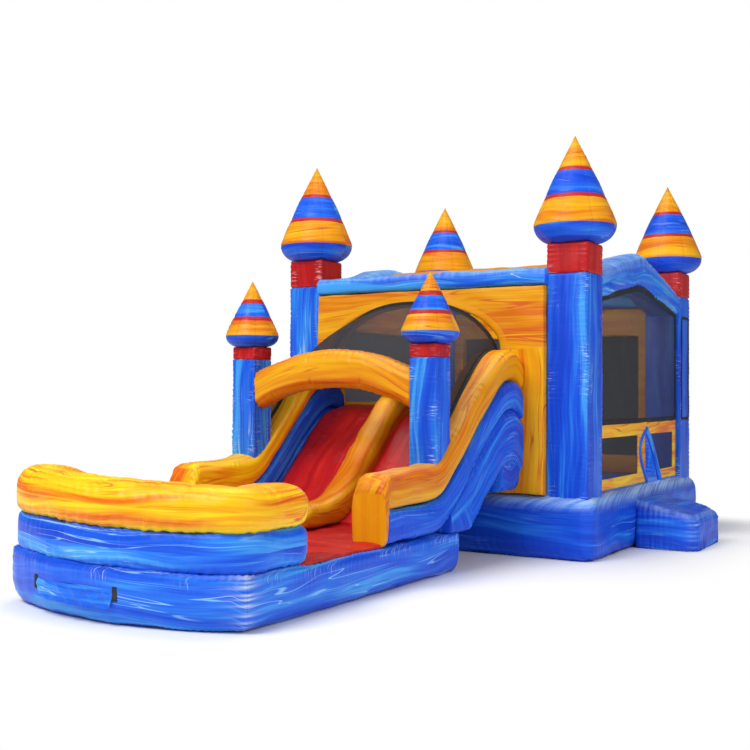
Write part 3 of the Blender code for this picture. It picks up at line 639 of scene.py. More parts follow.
def tube(name, rings, look, ends=(0.03, 0.03), loop=False, flat=None, values=None):
    # inflated skin over a row of closed sections
    rings = np.asarray(rings, float)
    skin, run, lap, whole, seam = inflate(rings, look, loop)
    extra = {"seam": seam, "pucker": np.full(seam.shape, look.get("pucker", 0.0)), **(values or {})}
    run = np.concatenate([run, run[:, :1]], axis=1)
    lap = np.concatenate([lap, whole], axis=1)
    steps = 0
    if loop:
        run = np.vstack([run, run[-1:] + puff["closing"]])
        lap = np.vstack([lap, lap[:1]])
    else:
        skin, steps = domed(skin, ends)
        pad = ((steps, steps), (0, 0))
        extra = {key: np.pad(value, pad, "edge") for key, value in extra.items()}
        run = np.pad(run, pad, "edge")
        lap = np.pad(lap, pad, "edge")
    rows, columns = skin.shape[:2]
    points = skin.reshape(-1, 3)
    faces = gridFaces(rows, columns, loop, True)
    corners = points[np.array(faces)]
    if flat is not None:
        uvs = flat(corners)
    else:
        r, i = np.divmod(np.arange(len(faces)), columns)
        order = ((0, 0), (0, 1), (1, 1), (1, 0))
        uvs = np.stack([np.stack([run[r + a, i + b], lap[r + a, i + b]], axis=1) for a, b in order], axis=1)
        if look.get("grain") == "around":
            uvs = uvs[:, :, ::-1]
    uvs = list(uvs)
    if not loop:
        broad = look.get("capPrint", 1.0)
        stop = (rows - 1) * columns
        first = {"away": skin[0] - skin[steps], "block": range(steps * columns),
                 "rim": list(range(columns))[::-1], "rows": slice(0, steps)}
        last = {"away": skin[-1] - skin[-1 - steps], "block": range(stop - steps * columns, stop),
                "rim": list(range(stop, rows * columns)), "rows": slice(rows - steps, rows)}
        for cap in (first, last):
            way = cap["away"].mean(axis=0)
            length = np.linalg.norm(way)
            way = way / length if length > 1e-9 else np.array((0.0, 0.0, 1.0))
            for f in cap["block"]:
                uvs[f] = planar(corners[f], way) * broad
            faces.append(cap["rim"])
            uvs.append(planar(points[cap["rim"]], way) * broad)
            if look.get("capSeam"):
                across = planar(skin[cap["rows"]], way)[:, :, 1]
                extra["seam"][cap["rows"]] = np.abs(across - across.mean())
    uvs = np.concatenate(uvs)
    # each piece is cut from its own place of the print
    shift = np.random.default_rng(look["seed"]).uniform(0, 40, 2)
    piece = meshOf(name, points, faces, uvs + shift, extra)
    facing(piece)
    return piece


def cloth(name, grid, thick=0.0, around=False, hem=0.03):
    # one layer of cloth over a grid of points, thickened if asked; gives the piece and its area
    grid = np.asarray(grid, float)
    rows, columns = grid.shape[:2]
    faces = gridFaces(rows, columns, False, False)
    step = np.linalg.norm(np.diff(grid, axis=0), axis=2).mean(axis=1)
    side = np.linalg.norm(np.diff(grid, axis=1), axis=2).mean(axis=0)
    run = np.concatenate([[0], np.cumsum(step)])
    lap = np.concatenate([[0], np.cumsum(side)])
    flat = np.stack(np.meshgrid(run, lap, indexing="ij"), axis=2).reshape(-1, 2)
    if around:
        flat = flat[:, ::-1]
    order = np.concatenate([np.asarray(face) for face in faces])
    edge = np.minimum(np.minimum(run, run[-1] - run)[:, None], np.minimum(lap, lap[-1] - lap)[None, :])
    seam = np.abs(edge - hem)
    piece = meshOf(name, grid.reshape(-1, 3), faces, flat[order], {"seam": seam})
    if thick:
        solid = piece.modifiers.new("thickness", "SOLIDIFY")
        solid.thickness = thick
        solid.offset = 0
    area = float(sum(face.area for face in piece.data.polygons))
    return piece, area


air = {"frames": 20, "pressure": 4.0, "shrink": -0.02, "pin": 0.012, "cap": 0.012}


def blowUp(piece):
    # cloth under air pressure, held along its seams; no point moves further than the cap
    scene = bpy.context.scene
    count = len(piece.data.vertices)
    seam = np.zeros(count)
    piece.data.attributes["seam"].data.foreach_get("value", seam)
    before = np.zeros(count * 3)
    piece.data.vertices.foreach_get("co", before)
    held = piece.vertex_groups.new(name="seams")
    held.add([int(k) for k in np.flatnonzero(seam < air["pin"])], 1.0, "REPLACE")
    pressed = piece.modifiers.new("air", "CLOTH")
    pressed.settings.use_pressure = True
    pressed.settings.uniform_pressure_force = air["pressure"]
    pressed.settings.vertex_group_mass = "seams"
    pressed.settings.shrink_min = air["shrink"]
    pressed.settings.effector_weights.gravity = 0
    pressed.collision_settings.use_collision = False
    pressed.point_cache.frame_start = 1
    pressed.point_cache.frame_end = air["frames"]
    for moment in range(1, air["frames"] + 1):
        scene.frame_set(moment)
    shape = piece.evaluated_get(bpy.context.evaluated_depsgraph_get()).to_mesh()
    after = np.zeros(count * 3)
    shape.vertices.foreach_get("co", after)
    piece.modifiers.remove(pressed)
    piece.vertex_groups.remove(held)
    scene.frame_set(1)
    moved = (after - before).reshape(-1, 3)
    far = np.linalg.norm(moved, axis=1, keepdims=True)
    print("air moved", piece.name, "by up to", round(float(far.max()) * 1000, 1), "mm before the cap")
    moved *= np.minimum(1, air["cap"] / np.maximum(far, 1e-9))
    piece.data.vertices.foreach_set("co", before + moved.ravel())
    piece.data.update()
    return piece


def dress(piece, finish, nodes=(), body="house"):
    piece.data.materials.append(finish)
    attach(piece, body)
    if nodes:
        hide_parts(*nodes)
    return piece


def sides(node):
    low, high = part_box(node)
    return np.array(low), np.array(high)


# posts: corner columns and collars, sewn from four panels
post = {"corner": 0.018, "crease": 0.0036, "draw": 0.001, "reach": 0.075, "pitch": 0.045, "count": 96,
        "bulge": 0.004, "full": 0.23, "plump": 1.015, "lumps": 0.0025, "pucker": 1.0, "rowPitch": 0.011,
        "edge": 0.02, "turnIn": (0.6, 0.25), "caps": (0.0, 0.004)}


def makePost(node, finish, seed, crease=post["crease"], sink=0.0):
    low, high = sides(node)
    low[2] -= sink
    middle = (low + high) / 2
    half = (high - low)[0] / 2 * post["plump"]
    scale = half / post["full"]
    corners = [(half, half), (-half, half), (-half, -half), (half, -half)]
    outline = evenLoop(roundCorners(corners, post["corner"] * scale, 9), post["count"])
    # begin on a corner, so that the seams fall on points
    first = int(np.argmax(outline @ np.array([1, 1])))
    outline = np.roll(outline, -first, axis=0)
    quarter = post["count"] // 4
    swell = np.sin(np.arange(post["count"]) % quarter / quarter * pi) * post["bulge"] * scale
    outline += outline / np.linalg.norm(outline, axis=1, keepdims=True) * swell[:, None]
    edge = post["edge"] * scale
    heights = np.arange(low[2] + edge, high[2] - edge, post["rowPitch"])
    most, less = post["turnIn"]
    rows = [(low[2], most), (low[2] + edge / 3, less), *[(z, 0) for z in heights]]
    rows += [(high[2] - edge / 3, less), (high[2], most)]
    rings = []
    for z, drawn in rows:
        shrink = 1 - drawn * edge / half
        rings.append([(middle[0] + a * shrink, middle[1] + b * shrink, z) for a, b in outline])
    look = dict(post, seed=seed, crease=crease, seamColumns=[k * quarter for k in range(4)])
    return dress(tube(node, rings, look, post["caps"]), finish, [node])


# spires: eight gores, a bowl below the widest ring and a long cone above it
spire = {"gores": 8, "count": 96, "rows": 84, "widest": 0.82, "belly": 0.04, "neck": 0.94, "tip": 0.006,
         "crease": 0.0035, "draw": 0.007, "reach": 0.05, "pitch": 0.045, "lumps": 0.002, "grain": "around",
         "caps": (0.0, 0.004)}


def makeSpire(node, collar, finish, bands, seed):
    low, high = sides(node)
    middle = (low + high) / 2
    radius = (high - low)[0] / 2
    collarLow, collarHigh = sides(collar)
    neck = (collarHigh - collarLow)[0] / 2 * spire["neck"]
    height = high[2] - low[2]
    bowl = height * (1 - spire["widest"])
    profile = []
    for t in np.linspace(0, pi / 2, 30):
        profile.append((neck + (radius - neck) * sin(t), low[2] + bowl * (1 - cos(t))))
    for share in np.linspace(0.02, 1, 60):
        reach = radius * (1 - share + spire["belly"] * sin(pi * share)) + spire["tip"] * share
        profile.append((reach, low[2] + bowl + share * (height - bowl)))
    profile = evenLine(profile, spire["rows"])
    turns = np.linspace(0, 2 * pi, spire["count"], endpoint=False)
    rings = []
    for reach, z in profile:
        rings.append([(middle[0] + reach * cos(t), middle[1] + reach * sin(t), z) for t in turns])
    share = (high[2] - profile[:, 1]) / height
    marks = [int(np.argmin(np.abs(share - mark))) for mark in (*bands["red"], bands["blue"][2])]
    gore = spire["count"] // spire["gores"]
    look = dict(spire, seed=seed, seamColumns=[k * gore for k in range(spire["gores"])], seamRings=marks[::2])
    shares = np.repeat(share[:, None], spire["count"], axis=1)
    piece = tube(node, rings, look, spire["caps"], values={"share": shares})
    return dress(piece, finish, [node])


# the left columns take a lighter blue vinyl as painted light, for the side the light falls on
towers = {
    "collarCrease": 0.003,
    "sink": 0.05,
    "house": {"left": poolVinyl, "right": blueVinyl, "bands": houseBands},
    "slide": {"left": trimVinyl, "right": blueVinyl, "bands": slideBands},
}


def makeTower(column, collar, top, group, side, seed):
    makePost(column, towers[group][side], seed, sink=towers["sink"])
    makePost(collar, redVinyl, seed + 1, crease=towers["collarCrease"])
    makeSpire(top, collar, towers[group]["bands"], spireBands[group], seed + 2)


def makeTowers():
    seed = 10
    for row in ("front", "back"):
        for side in ("left", "right"):
            place = f"{row}_{side}"
            makeTower(f"column_{place}", f"collar_{place}", f"spire_{place}", "house", side, seed)
            seed += 10
    for side in ("left", "right"):
        names = [f"slide_{part}_{side}" for part in ("column", "collar", "spire")]
        makeTower(*names, "slide", side, seed)
        seed += 10


makeTowers()
print("towers made")


def sideProfile(low, high, look):
    # a bulging side: tuck at the foot, nearly upright, then a soft shoulder; gives inset and height
    points = []
    rise = look["shoulderRise"]
    foot = look["footRise"]
    for t in np.linspace(0, pi / 2, 40):
        points.append((look["tuck"] * (1 - sin(t)), low + foot * (1 - cos(t))))
    for t in np.linspace(0, pi / 2, 40):
        points.append((look["shoulder"] * (1 - cos(t)), high - rise + rise * sin(t)))
    return evenLine(points, look["rows"])


# the painted reflection (gleam) rises over a third of the shoulder, and the flat top holds little of it; the
# corner glint strokes are painted highlights too
cushions = {"gleamRise": 3, "topGleam": 0.25, "cornerGlintGain": 3}


def cushion(node, outline, profile, look, finish, corners=(), fall=None):
    # outline gives the plan for an inset, and fall scales the height over the plan
    # the streaks of the print run round the sides
    rings = []
    for drawn, height in profile:
        ring = []
        for x, y in outline(drawn):
            ring.append((x, y, height if fall is None else height * fall(x, y)))
        rings.append(ring)
    look = dict(look, grain="around")
    look["seamRings"] = [1, int(len(profile) * look["upperSeam"])]
    plan = np.array(rings[len(rings) // 2])[:, :2]
    look["seamColumns"] = [int(np.argmin(np.linalg.norm(plan - corner, axis=1))) for corner in corners]
    # the shoulder faces up and gets the painted reflection
    high = profile[:, 1] > (profile[0, 1] + profile[-1, 1]) / 2
    shine = np.clip(profile[:, 0] / look["shoulder"] * cushions["gleamRise"], 0, 1)
    lifted = np.where(high, shine, 0) * look["gleam"]
    lifted[-1] *= cushions["topGleam"]
    values = {"gleam": np.repeat(lifted[:, None], len(rings[0]), axis=1)}
    # painted highlight: short glint strokes near the given corners, mixed into the colour only
    pinch = np.zeros(values["gleam"].shape)
    solid = np.array(rings)
    for k, corner in enumerate(corners):
        near = np.exp(-np.linalg.norm(solid[:, :, :2] - corner, axis=2) / look["cornerGlintReach"])
        folds = gathers(solid[:, :, 2], look["seed"] + 5 * k, look["cornerGlintPitch"])
        pinch += near * np.clip(cushions["cornerGlintGain"] * folds, 0, 1)
    values["pinch"] = pinch
    piece = tube(node, rings, look, (0.0, 0.0), values=values)
    # nothing reaches below the ground
    ground = sides(node)[0][2]
    for vertex in piece.data.vertices:
        vertex.co.z = max(vertex.co.z, ground)
    return dress(piece, finish, [node])


houseBase = {"tuck": 0.06, "footRise": 0.14, "shoulder": 0.14, "shoulderRise": 0.19, "corner": 0.17,
             "count": 900, "rows": 40, "crease": 0.0075, "draw": 0.003, "reach": 0.10, "pitch": 0.075,
             "lumps": 0.006, "seed": 71, "upperSeam": 0.92, "gleam": 1.0}


def makeHouseBase():
    low, high = sides("house_base")

    def outline(drawn):
        x = high[0] - drawn
        y = high[1] - drawn
        corners = [(-x, y), (-x, -y), (x, -y), (x, y)]
        return evenLoop(roundCorners(corners, houseBase["corner"], 12), houseBase["count"])

    profile = sideProfile(low[2], high[2], houseBase)
    cushion("house_base", outline, profile, houseBase, deepVinyl)


groundSheet = {"ripple": 0.012, "cells": 120, "show": 0.015, "curl": 0.022, "thick": 0.003, "lay": 0.002,
               "cornerPull": 0.012, "cornerPower": 8, "rimPower": 30, "rim": 0.9, "seed": 5,
               "waves": (0.25, 0.7)}


def makeGroundSheet():
    high = sides("ground_sheet")[1]
    line = np.linspace(-1, 1, groundSheet["cells"])
    a, b = np.meshgrid(line, line, indexing="ij")
    # a square grid drawn in at its corners
    pull = 1 - groundSheet["cornerPull"] * (a * b) ** groundSheet["cornerPower"]
    wide = high[0] + groundSheet["show"]
    deep = high[1] + groundSheet["show"]
    rim = np.maximum(np.abs(a), np.abs(b)) ** groundSheet["rimPower"]
    level = high[2] - groundSheet["lay"] + groundSheet["curl"] * rim
    grid = np.stack([a * wide * pull, b * deep * pull, level], axis=2)
    away = np.stack([np.sign(part) * (np.abs(part) > groundSheet["rim"]) for part in (a, b)], axis=2)
    wave = waves(grid, groundSheet["seed"], *groundSheet["waves"]) * groundSheet["ripple"] * rim
    grid[:, :, :2] += away * wave[:, :, None]
    piece, area = cloth("ground_sheet", grid, groundSheet["thick"])
    dress(piece, blackWebbing, ["ground_sheet"])


entryStep = {"tuck": 0.02, "footRise": 0.10, "shoulder": 0.09, "shoulderRise": 0.12, "chamfer": 0.10,
             "corner": 0.05, "count": 420, "rows": 34, "crease": 0.006, "draw": 0.004, "reach": 0.08,
             "pitch": 0.06, "lumps": 0.007, "seed": 83, "upperSeam": 0.80, "fall": 0.28, "gleam": 0.40,
             "cornerGlintReach": 0.04, "cornerGlintPitch": 0.045}


def makeEntryStep():
    low, high = sides("entry_step")
    middle = (low[1] + high[1]) / 2
    half = (high[1] - low[1]) / 2

    def outline(drawn):
        far = high[0] - drawn
        wide = half - drawn
        cut = entryStep["chamfer"]
        corners = [(low[0], -wide), (far - cut, -wide), (far, cut - wide), (far, wide - cut)]
        corners += [(far - cut, wide), (low[0], wide)]
        shape = evenLoop(roundCorners(corners, entryStep["corner"], 8), entryStep["count"])
        return [(x, middle + y) for x, y in shape]

    def fall(x, y):
        return 1 - entryStep["fall"] * (x - low[0]) / (high[0] - low[0])

    profile = sideProfile(low[2], high[2], entryStep)
    corners = [(high[0], low[1]), (high[0], high[1])]
    cushion("entry_step", outline, profile, entryStep, deepVinyl, corners, fall)


makeHouseBase()
makeGroundSheet()
makeEntryStep()
print("house base, ground sheet and step made")


def matched(inner, outer, count, closest=0.004):
    # points of two loops that face each other across a panel, with the corners of both kept
    inner = np.asarray(inner, float)
    outer = np.asarray(outer, float)
    middle = (inner.min(axis=0) + inner.max(axis=0)) / 2

    def hits(loop, turns):
        # where rays from the middle leave the loop
        closed = np.vstack([loop, loop[:1]]) - middle
        found = np.zeros((len(turns), 2))
        for k, t in enumerate(turns):
            way = np.array([cos(t), sin(t)])
            far = 0.0
            for p, q in zip(closed, closed[1:]):
                edge = q - p
                cross = way[0] * edge[1] - way[1] * edge[0]
                if abs(cross) < 1e-12:
                    continue
                at = (p[0] * edge[1] - p[1] * edge[0]) / cross
                part = (p[0] * way[1] - p[1] * way[0]) / cross
                if at > far and -1e-9 <= part <= 1 + 1e-9:
                    far = at
            found[k] = middle + way * far
        return found

    turns = list(np.linspace(-pi, pi, count, endpoint=False))
    for corner in (*outer, *inner):
        turns.append(np.arctan2(*(corner - middle)[::-1]))
    turns = np.array(sorted(turns))
    turns = turns[np.concatenate([[True], np.diff(turns) > closest])]
    return hits(inner, turns), hits(outer, turns)


# the lumps grow less towards a panel's edges
panels = {"edgePower": 8, "edgeCalm": 0.5}


def panel(node, inner, outer, axis, place, thick, look, finish, body="house"):
    # inflated wall round an opening; inner and outer are loops in the wall's own plane
    near, far = matched(inner, outer, look["count"])
    section = puffed(look["section"], look["power"])
    rings = []
    for a, b in zip(near, far):
        middle = (a + b) / 2
        reach = (b - a) / 2
        ring = []
        for m, n in section:
            flat = middle + reach * m
            depth = place + n * thick / 2
            ring.append((depth, *flat) if axis == 0 else (flat[0], depth, flat[1]))
        rings.append(ring)
    rings = np.array(rings)
    keep = [0, 2] if axis == 1 else [1, 2]
    upright = look.get("upright")
    width = np.linalg.norm(far - near, axis=1)
    edge = (1 + section[None, :, 0]) / 2 * width[:, None]
    look = dict(look)
    calm = np.abs(section[None, :, 0]) ** panels["edgePower"] * panels["edgeCalm"]
    look["where"] = np.clip(1 - calm, 0, 1)

    def flat(corners):
        # the print runs across the wall, but up it beside the opening if asked
        laid = corners[:, :, keep]
        if upright is not None:
            middle = laid.mean(axis=1)
            turned = (middle[:, 0] > upright[0]) & (middle[:, 1] < upright[1])
            laid[turned] = laid[turned][:, :, ::-1]
        return laid

    piece = tube(node, rings, look, loop=True, flat=flat, values={"edge": edge})
    return dress(piece, finish, [node], body)


frontWall = {"count": 260, "section": 84, "power": 0.10, "lumps": 0.007, "seed": 101, "crease": 0.004,
             "pitch": 0.06, "reach": 0.05, "draw": 0.012, "trim": 0.10, "seamColumns": [4, 9, 75]}
doorway = {"half": 1.10, "spring": 2.25, "peak": 2.78, "steps": 40}


def doorLoop(middle, sill):
    half = doorway["half"]
    points = [(middle - half, sill), (middle + half, sill)]
    for t in np.linspace(0, pi, doorway["steps"]):
        rise = (doorway["peak"] - doorway["spring"]) * sin(t)
        points.append((middle + half * cos(t), doorway["spring"] + rise))
    return points


def cornersOf(node, keep):
    # corners of a flat plate, in order round its middle
    piece = bpy.data.objects[node]
    spots = {tuple(np.round((piece.matrix_world @ v.co)[:], 4)[keep]) for v in piece.data.vertices}
    spots = np.array(sorted(spots))
    away = spots - spots.mean(axis=0)
    return spots[np.argsort(np.arctan2(away[:, 1], away[:, 0]))]


def boxLoop(low, high):
    return [(low[0], low[1]), (high[0], low[1]), (high[0], high[1]), (low[0], high[1])]


def makeFrontWall():
    low, high = sides("front_wall")
    gateLow, gateHigh = sides("slide_arch")
    middle = (gateLow[0] + gateHigh[0]) / 2
    sill = sides("climb_ramp")[1][2]
    look = dict(frontWall, upright=(middle + doorway["half"] + frontWall["trim"], doorway["spring"]))
    inner = doorLoop(middle, sill)
    outer = boxLoop((low[0], low[2]), (high[0], high[2]))
    depth = (low[1] + high[1]) / 2
    panel("front_wall", inner, outer, 1, depth, high[1] - low[1], look, trimmedWall)


sideWall = {"count": 200, "section": 60, "power": 0.12, "lumps": 0.006, "seed": 131, "crease": 0.003,
            "pitch": 0.06, "reach": 0.05, "draw": 0.008, "seamColumns": [6, 54]}
gableLine = {"soft": 0.15, "steps": 41}


def gableShape(share):
    # straight slopes with a soft ridge, 1 at the middle and 0 at the eaves
    soft = gableLine["soft"]
    return 1 - (np.sqrt(share * share + soft * soft) - soft) / (sqrt(1 + soft * soft) - soft)


def gableLoop(low, high, eave):
    points = [(low[0], low[1]), (high[0], low[1])]
    for y in np.linspace(high[0], low[0], gableLine["steps"]):
        points.append((y, eave + (high[1] - eave) * gableShape(y / high[0])))
    return points


def makeSideWalls():
    low, high = sides("left_wall")
    eave = sides("gable_left")[0][2]
    windowLow, windowHigh = sides("left_window_net")
    inner = boxLoop(windowLow[1:], windowHigh[1:])
    outer = gableLoop(low[1:], high[1:], eave)
    depth = (low[0] + high[0]) / 2
    panel("left_wall", inner, outer, 0, depth, high[0] - low[0], sideWall, goldVinyl)
    low, high = sides("back_wall")
    windowLow, windowHigh = sides("back_window_net")
    inner = boxLoop(windowLow[::2], windowHigh[::2])
    outer = boxLoop(low[::2], high[::2])
    look = dict(sideWall, seed=137)
    depth = (low[1] + high[1]) / 2
    panel("back_wall", inner, outer, 1, depth, high[1] - low[1], look, goldVinyl)


beams = {"gleam": 0.4, "count": 48, "rowPitch": 0.02, "power": 0.55, "crease": 0.005, "draw": 0.004,
         "reach": 0.05, "pitch": 0.07, "lumps": 0.005, "seamColumns": [18, 42]}


def upperShine(section, rows, most):
    # painted reflection: pale gleam on the upper side of a beam
    upper = np.clip(section[:, 1], 0, 1) * most
    return {"gleam": np.tile(upper, (rows, 1))}


def makeBeams():
    section = puffed(beams["count"], beams["power"])
    for seed, node in ((151, "front_beam"), (157, "back_beam")):
        low, high = sides(node)
        middle = (low + high) / 2
        half = (high - low) / 2
        rings = []
        for along in np.arange(low[0], high[0] + beams["rowPitch"], beams["rowPitch"]):
            x = min(along, high[0])
            rings.append([(x, middle[1] + a * half[1], middle[2] + b * half[2]) for a, b in section])
        look = dict(beams, seed=seed)
        shine = upperShine(section, len(rings), beams["gleam"])
        # painted light: the beams take the paler blue vinyl since they face up
        dress(tube(node, rings, look, values=shine), trimVinyl, [node])


gables = {"count": 72, "rows": 170, "power": 0.55, "crease": 0.009, "draw": 0.006, "reach": 0.09,
          "pitch": 0.085, "lumps": 0.008, "depth": 0.32, "crown": 0.10, "gleam": 0.6,
          "seamColumns": [9, 27, 45, 63]}


def makeGables():
    section = puffed(gables["count"], gables["power"])
    for seed, node in ((163, "gable_left"), (167, "gable_right")):
        low, high = sides(node)
        middle = (low + high) / 2
        half = (high[0] - low[0]) / 2
        peak = high[2] - low[2] - gables["depth"] - gables["crown"]
        rings = []
        for y in np.linspace(low[1], high[1], gables["rows"]):
            shape = float(gableShape(y / high[1]))
            under = low[2] + peak * shape
            rise = (gables["depth"] + gables["crown"] * shape) / 2
            rings.append([(middle[0] + a * half, y, under + rise + b * rise) for a, b in section])
        look = dict(gables, seed=seed)
        shine = upperShine(section, len(rings), gables["gleam"])
        # painted light: the gables take the paler blue vinyl since they face up
        dress(tube(node, rings, look, values=shine), trimVinyl, [node])


roof = {"sag": 0.04, "edgeSag": 0.6, "rows": 120, "columns": 60, "ripple": 0.006, "waves": (0.15, 0.6),
        "seed": 171, "inset": 0.003, "thick": 0.004, "slack": 0.03}


def makeRoof():
    low, high = sides("roof_sheet")
    eave = low[2] + roof["inset"]
    ridge = high[2] - roof["inset"]
    grid = np.zeros((roof["rows"], roof["columns"], 3))
    for r, y in enumerate(np.linspace(low[1], high[1], roof["rows"])):
        share = abs(y) / high[1]
        z = eave + (ridge - eave) * (1 - share) - roof["sag"] * sin(pi * share) ** 2 * roof["edgeSag"]
        for c, x in enumerate(np.linspace(low[0], high[0], roof["columns"])):
            grid[r, c] = (x, y, z - roof["sag"] * cos(pi / 2 * x / high[0]) * sin(pi * share))
    grid[:, :, 2] += waves(grid, roof["seed"], *roof["waves"]) * roof["ripple"]
    piece, area = cloth("roof_sheet", grid, roof["thick"], around=True)
    dress(piece, goldVinyl, ["roof_sheet"])


makeFrontWall()
makeSideWalls()
makeBeams()
makeGables()
makeRoof()
print("walls, beams, gables and roof made")


tape = {"count": 20, "power": 0.25, "lumps": 0.0, "crease": 0.0, "draw": 0.0, "reach": 0.07,
        "pitch": 0.055, "seamColumns": [5, 15], "caps": (0.001, 0.001)}


def strap(name, path, wide, thick, up, seed, body="house", nodes=(), finish=blackWebbing,
          slot="black_webbing", power=tape["power"]):
    # flat webbing laid along a line; up is the way its broad face looks
    path = np.asarray(path, float)
    ahead = np.gradient(path, axis=0)
    ahead /= np.linalg.norm(ahead, axis=1, keepdims=True)
    up = np.asarray(up, float) * np.ones((len(path), 1))
    cross = np.cross(ahead, up)
    cross /= np.linalg.norm(cross, axis=1, keepdims=True)
    over = np.cross(cross, ahead)
    section = puffed(tape["count"], power)
    rings = []
    for point, a, b in zip(path, cross, over):
        rings.append([point + a * m * wide / 2 + b * n * thick / 2 for m, n in section])
    piece = tube(name, rings, dict(tape, seed=seed), tape["caps"])
    return dress(piece, finish, nodes, body)


nets = {"sag": 0.018, "cells": 60, "ripple": 0.35, "waves": (0.2, 0.6), "seed": 181, "slack": 1.004,
        "hem": 0.062, "hemThick": 0.009, "tuck": 0.02, "inset": 0.02, "proud": 0.008,
        "band": 0.9, "bandThick": 0.016}


def netGrid(low, high, axis, place, top=None):
    # rows up, columns across; top gives the upper edge where it isn't level
    count = nets["cells"]
    grid = np.zeros((count, count, 3))
    for c, across in enumerate(np.linspace(low[0], high[0], count)):
        head = high[1] if top is None else top(across)
        for r, share in enumerate(np.linspace(0, 1, count)):
            z = low[1] + (head - low[1]) * share
            slack = sin(pi * share) * sin(pi * c / (count - 1))
            depth = place + nets["sag"] * slack
            grid[r, c] = (depth, across, z) if axis == 0 else (across, depth, z)
    wave = waves(grid, nets["seed"] + axis, *nets["waves"]) * nets["sag"] * nets["ripple"]
    rim = np.sin(np.linspace(0, pi, count))
    grid[:, :, axis] += wave * rim[:, None] * rim[None, :]
    return grid


def bandPath():
    low, high = sides("net_band")
    middle = (low + high) / 2
    return [(middle[0], y, middle[2]) for y in np.linspace(low[1], high[1], 90)]


def makeNets():
    for node, axis, hold in (("left_window_net", 0, "left_wall"), ("back_window_net", 1, "back_wall")):
        low, high = sides(node)
        keep = [1, 2] if axis == 0 else [0, 2]
        place = (low[axis] + high[axis]) / 2
        piece = cloth(node, netGrid(low[keep], high[keep], axis, place))[0]
        # real nets, drawn nearly opaque as painted shade over the room behind
        dress(piece, shadeNet, [node])
    low, high = sides("right_window_net")
    eave = sides("gable_right")[0][2]

    def top(y):
        return eave + (high[2] - eave) * float(gableShape(y / high[1])) + nets["tuck"]

    place = (low[0] + high[0]) / 2
    grid = netGrid(low[1:], high[1:], 0, place, top)
    piece, area = cloth("right_window_net", grid)
    dress(piece, blackNet, ["right_window_net"])
    out = (1, 0, 0)
    wide = nets["hem"] * nets["band"]
    hems = [strap("net_band", bandPath(), wide, nets["bandThick"], out, 5, nodes=["net_band"])]
    x = place + nets["proud"]
    ends = (low[1] + nets["inset"], high[1] - nets["inset"])
    for k, y in enumerate(ends):
        path = [(x, y, z) for z in np.linspace(low[2], eave + nets["inset"], 40)]
        hems.append(strap(f"net_side_hem_{k + 1}", path, nets["hem"], nets["hemThick"], out, 7 + k))
    path = [(x, y, top(y) - nets["inset"]) for y in np.linspace(*ends, 80)]
    hems.append(strap("net_top_hem", path, nets["hem"], nets["hemThick"], out, 9))
    wide = high[1] - low[1]


makeNets()
print("window nets made")


flaps = {"thick": 0.014, "count": 150, "section": 36, "power": 0.22, "lumps": 0.004, "seed": 191,
         "crease": 0.006, "pitch": 0.07, "reach": 0.06, "draw": 0.0, "slit": 0.24, "pull": (0.31, 0.57),
         "head": 0.08, "bow": 0.8, "close": 0.33, "slant": 0.76, "hinge": 0.012, "least": 0.3,
         "trim": 0.065, "trimDepth": 0.9, "trimInset": 0.006, "trimPower": 0.9, "slack": 1.004,
         "netCells": 40, "netSag": 0.01, "seamColumns": [4, 32]}


def slitEdge(z, side, axis, bottom):
    # free edge of a flap, drawn back from the slit like the side of a lens
    share = max(0, (axis - flaps["head"] - z) / (axis - flaps["head"] - bottom))
    if side < 0:
        bow = sin(pi * share ** flaps["bow"]) * (1 - share * flaps["close"])
        return flaps["slit"] - flaps["pull"][0] * bow
    return flaps["slit"] + flaps["pull"][1] * share ** flaps["slant"]


def makeFlaps():
    for k, (row, side) in enumerate((("front", -1), ("rear", 1))):
        node = f"entry_flap_{row}"
        body = f"entry_flap_{row}_body"
        low, high = sides(node)
        axis = high[2] - flaps["hinge"]
        place = (low[0] + high[0]) / 2
        levels = np.linspace(high[2], low[2], 30)
        free = [(slitEdge(min(z, axis), side, axis, low[2]), z) for z in levels]
        far = low[1] if side < 0 else high[1]
        outer = [*free, (far, low[2]), (far, high[2])]
        if side < 0:
            outer = outer[::-1]
        inner = cornersOf(f"entry_net_{row}", [1, 2])
        look = dict(flaps, seed=flaps["seed"] + k)
        # painted light: the flaps take the brighter yellow vinyl to make up for the shade they hang in
        piece = panel(node, inner, outer, 0, place, flaps["thick"], look, yellowVinyl,
                      body=body)
        area = float(sum(face.area for face in piece.data.polygons)) / 2
        path = evenLine([(place, y - side * flaps["trimInset"], z) for y, z in free[3:]], 60)
        trim = strap(f"slit_trim_{row}", path, flaps["trim"], flaps["trim"] * flaps["trimDepth"], (1, 0, 0),
                     21 + k, body, finish=trimVinyl, slot="blue_vinyl", power=flaps["trimPower"])
        sheet, area = cloth(f"entry_net_{row}", flapNet(inner, place))
        dress(sheet, blackNet, [f"entry_net_{row}"], body)


def flapNet(corners, place):
    # slack net over four corners, lower left first
    count = flaps["netCells"]
    grid = np.zeros((count, count, 3))
    for r, v in enumerate(np.linspace(0, 1, count)):
        for c, u in enumerate(np.linspace(0, 1, count)):
            low = corners[0] * (1 - u) + corners[1] * u
            high = corners[3] * (1 - u) + corners[2] * u
            depth = place + flaps["netSag"] * sin(pi * u) * sin(pi * v)
            grid[r, c] = (depth, *(low * (1 - v) + high * v))
    return grid


# the column's panel falls away towards its seams, and the strip with it
banner = {"wide": 0.035, "thick": 0.007, "proud": 0.009, "corner": 0.02, "points": 260, "fall": 0.010,
          "fallReach": 0.075, "seamAway": 0.03, "seed": 33}


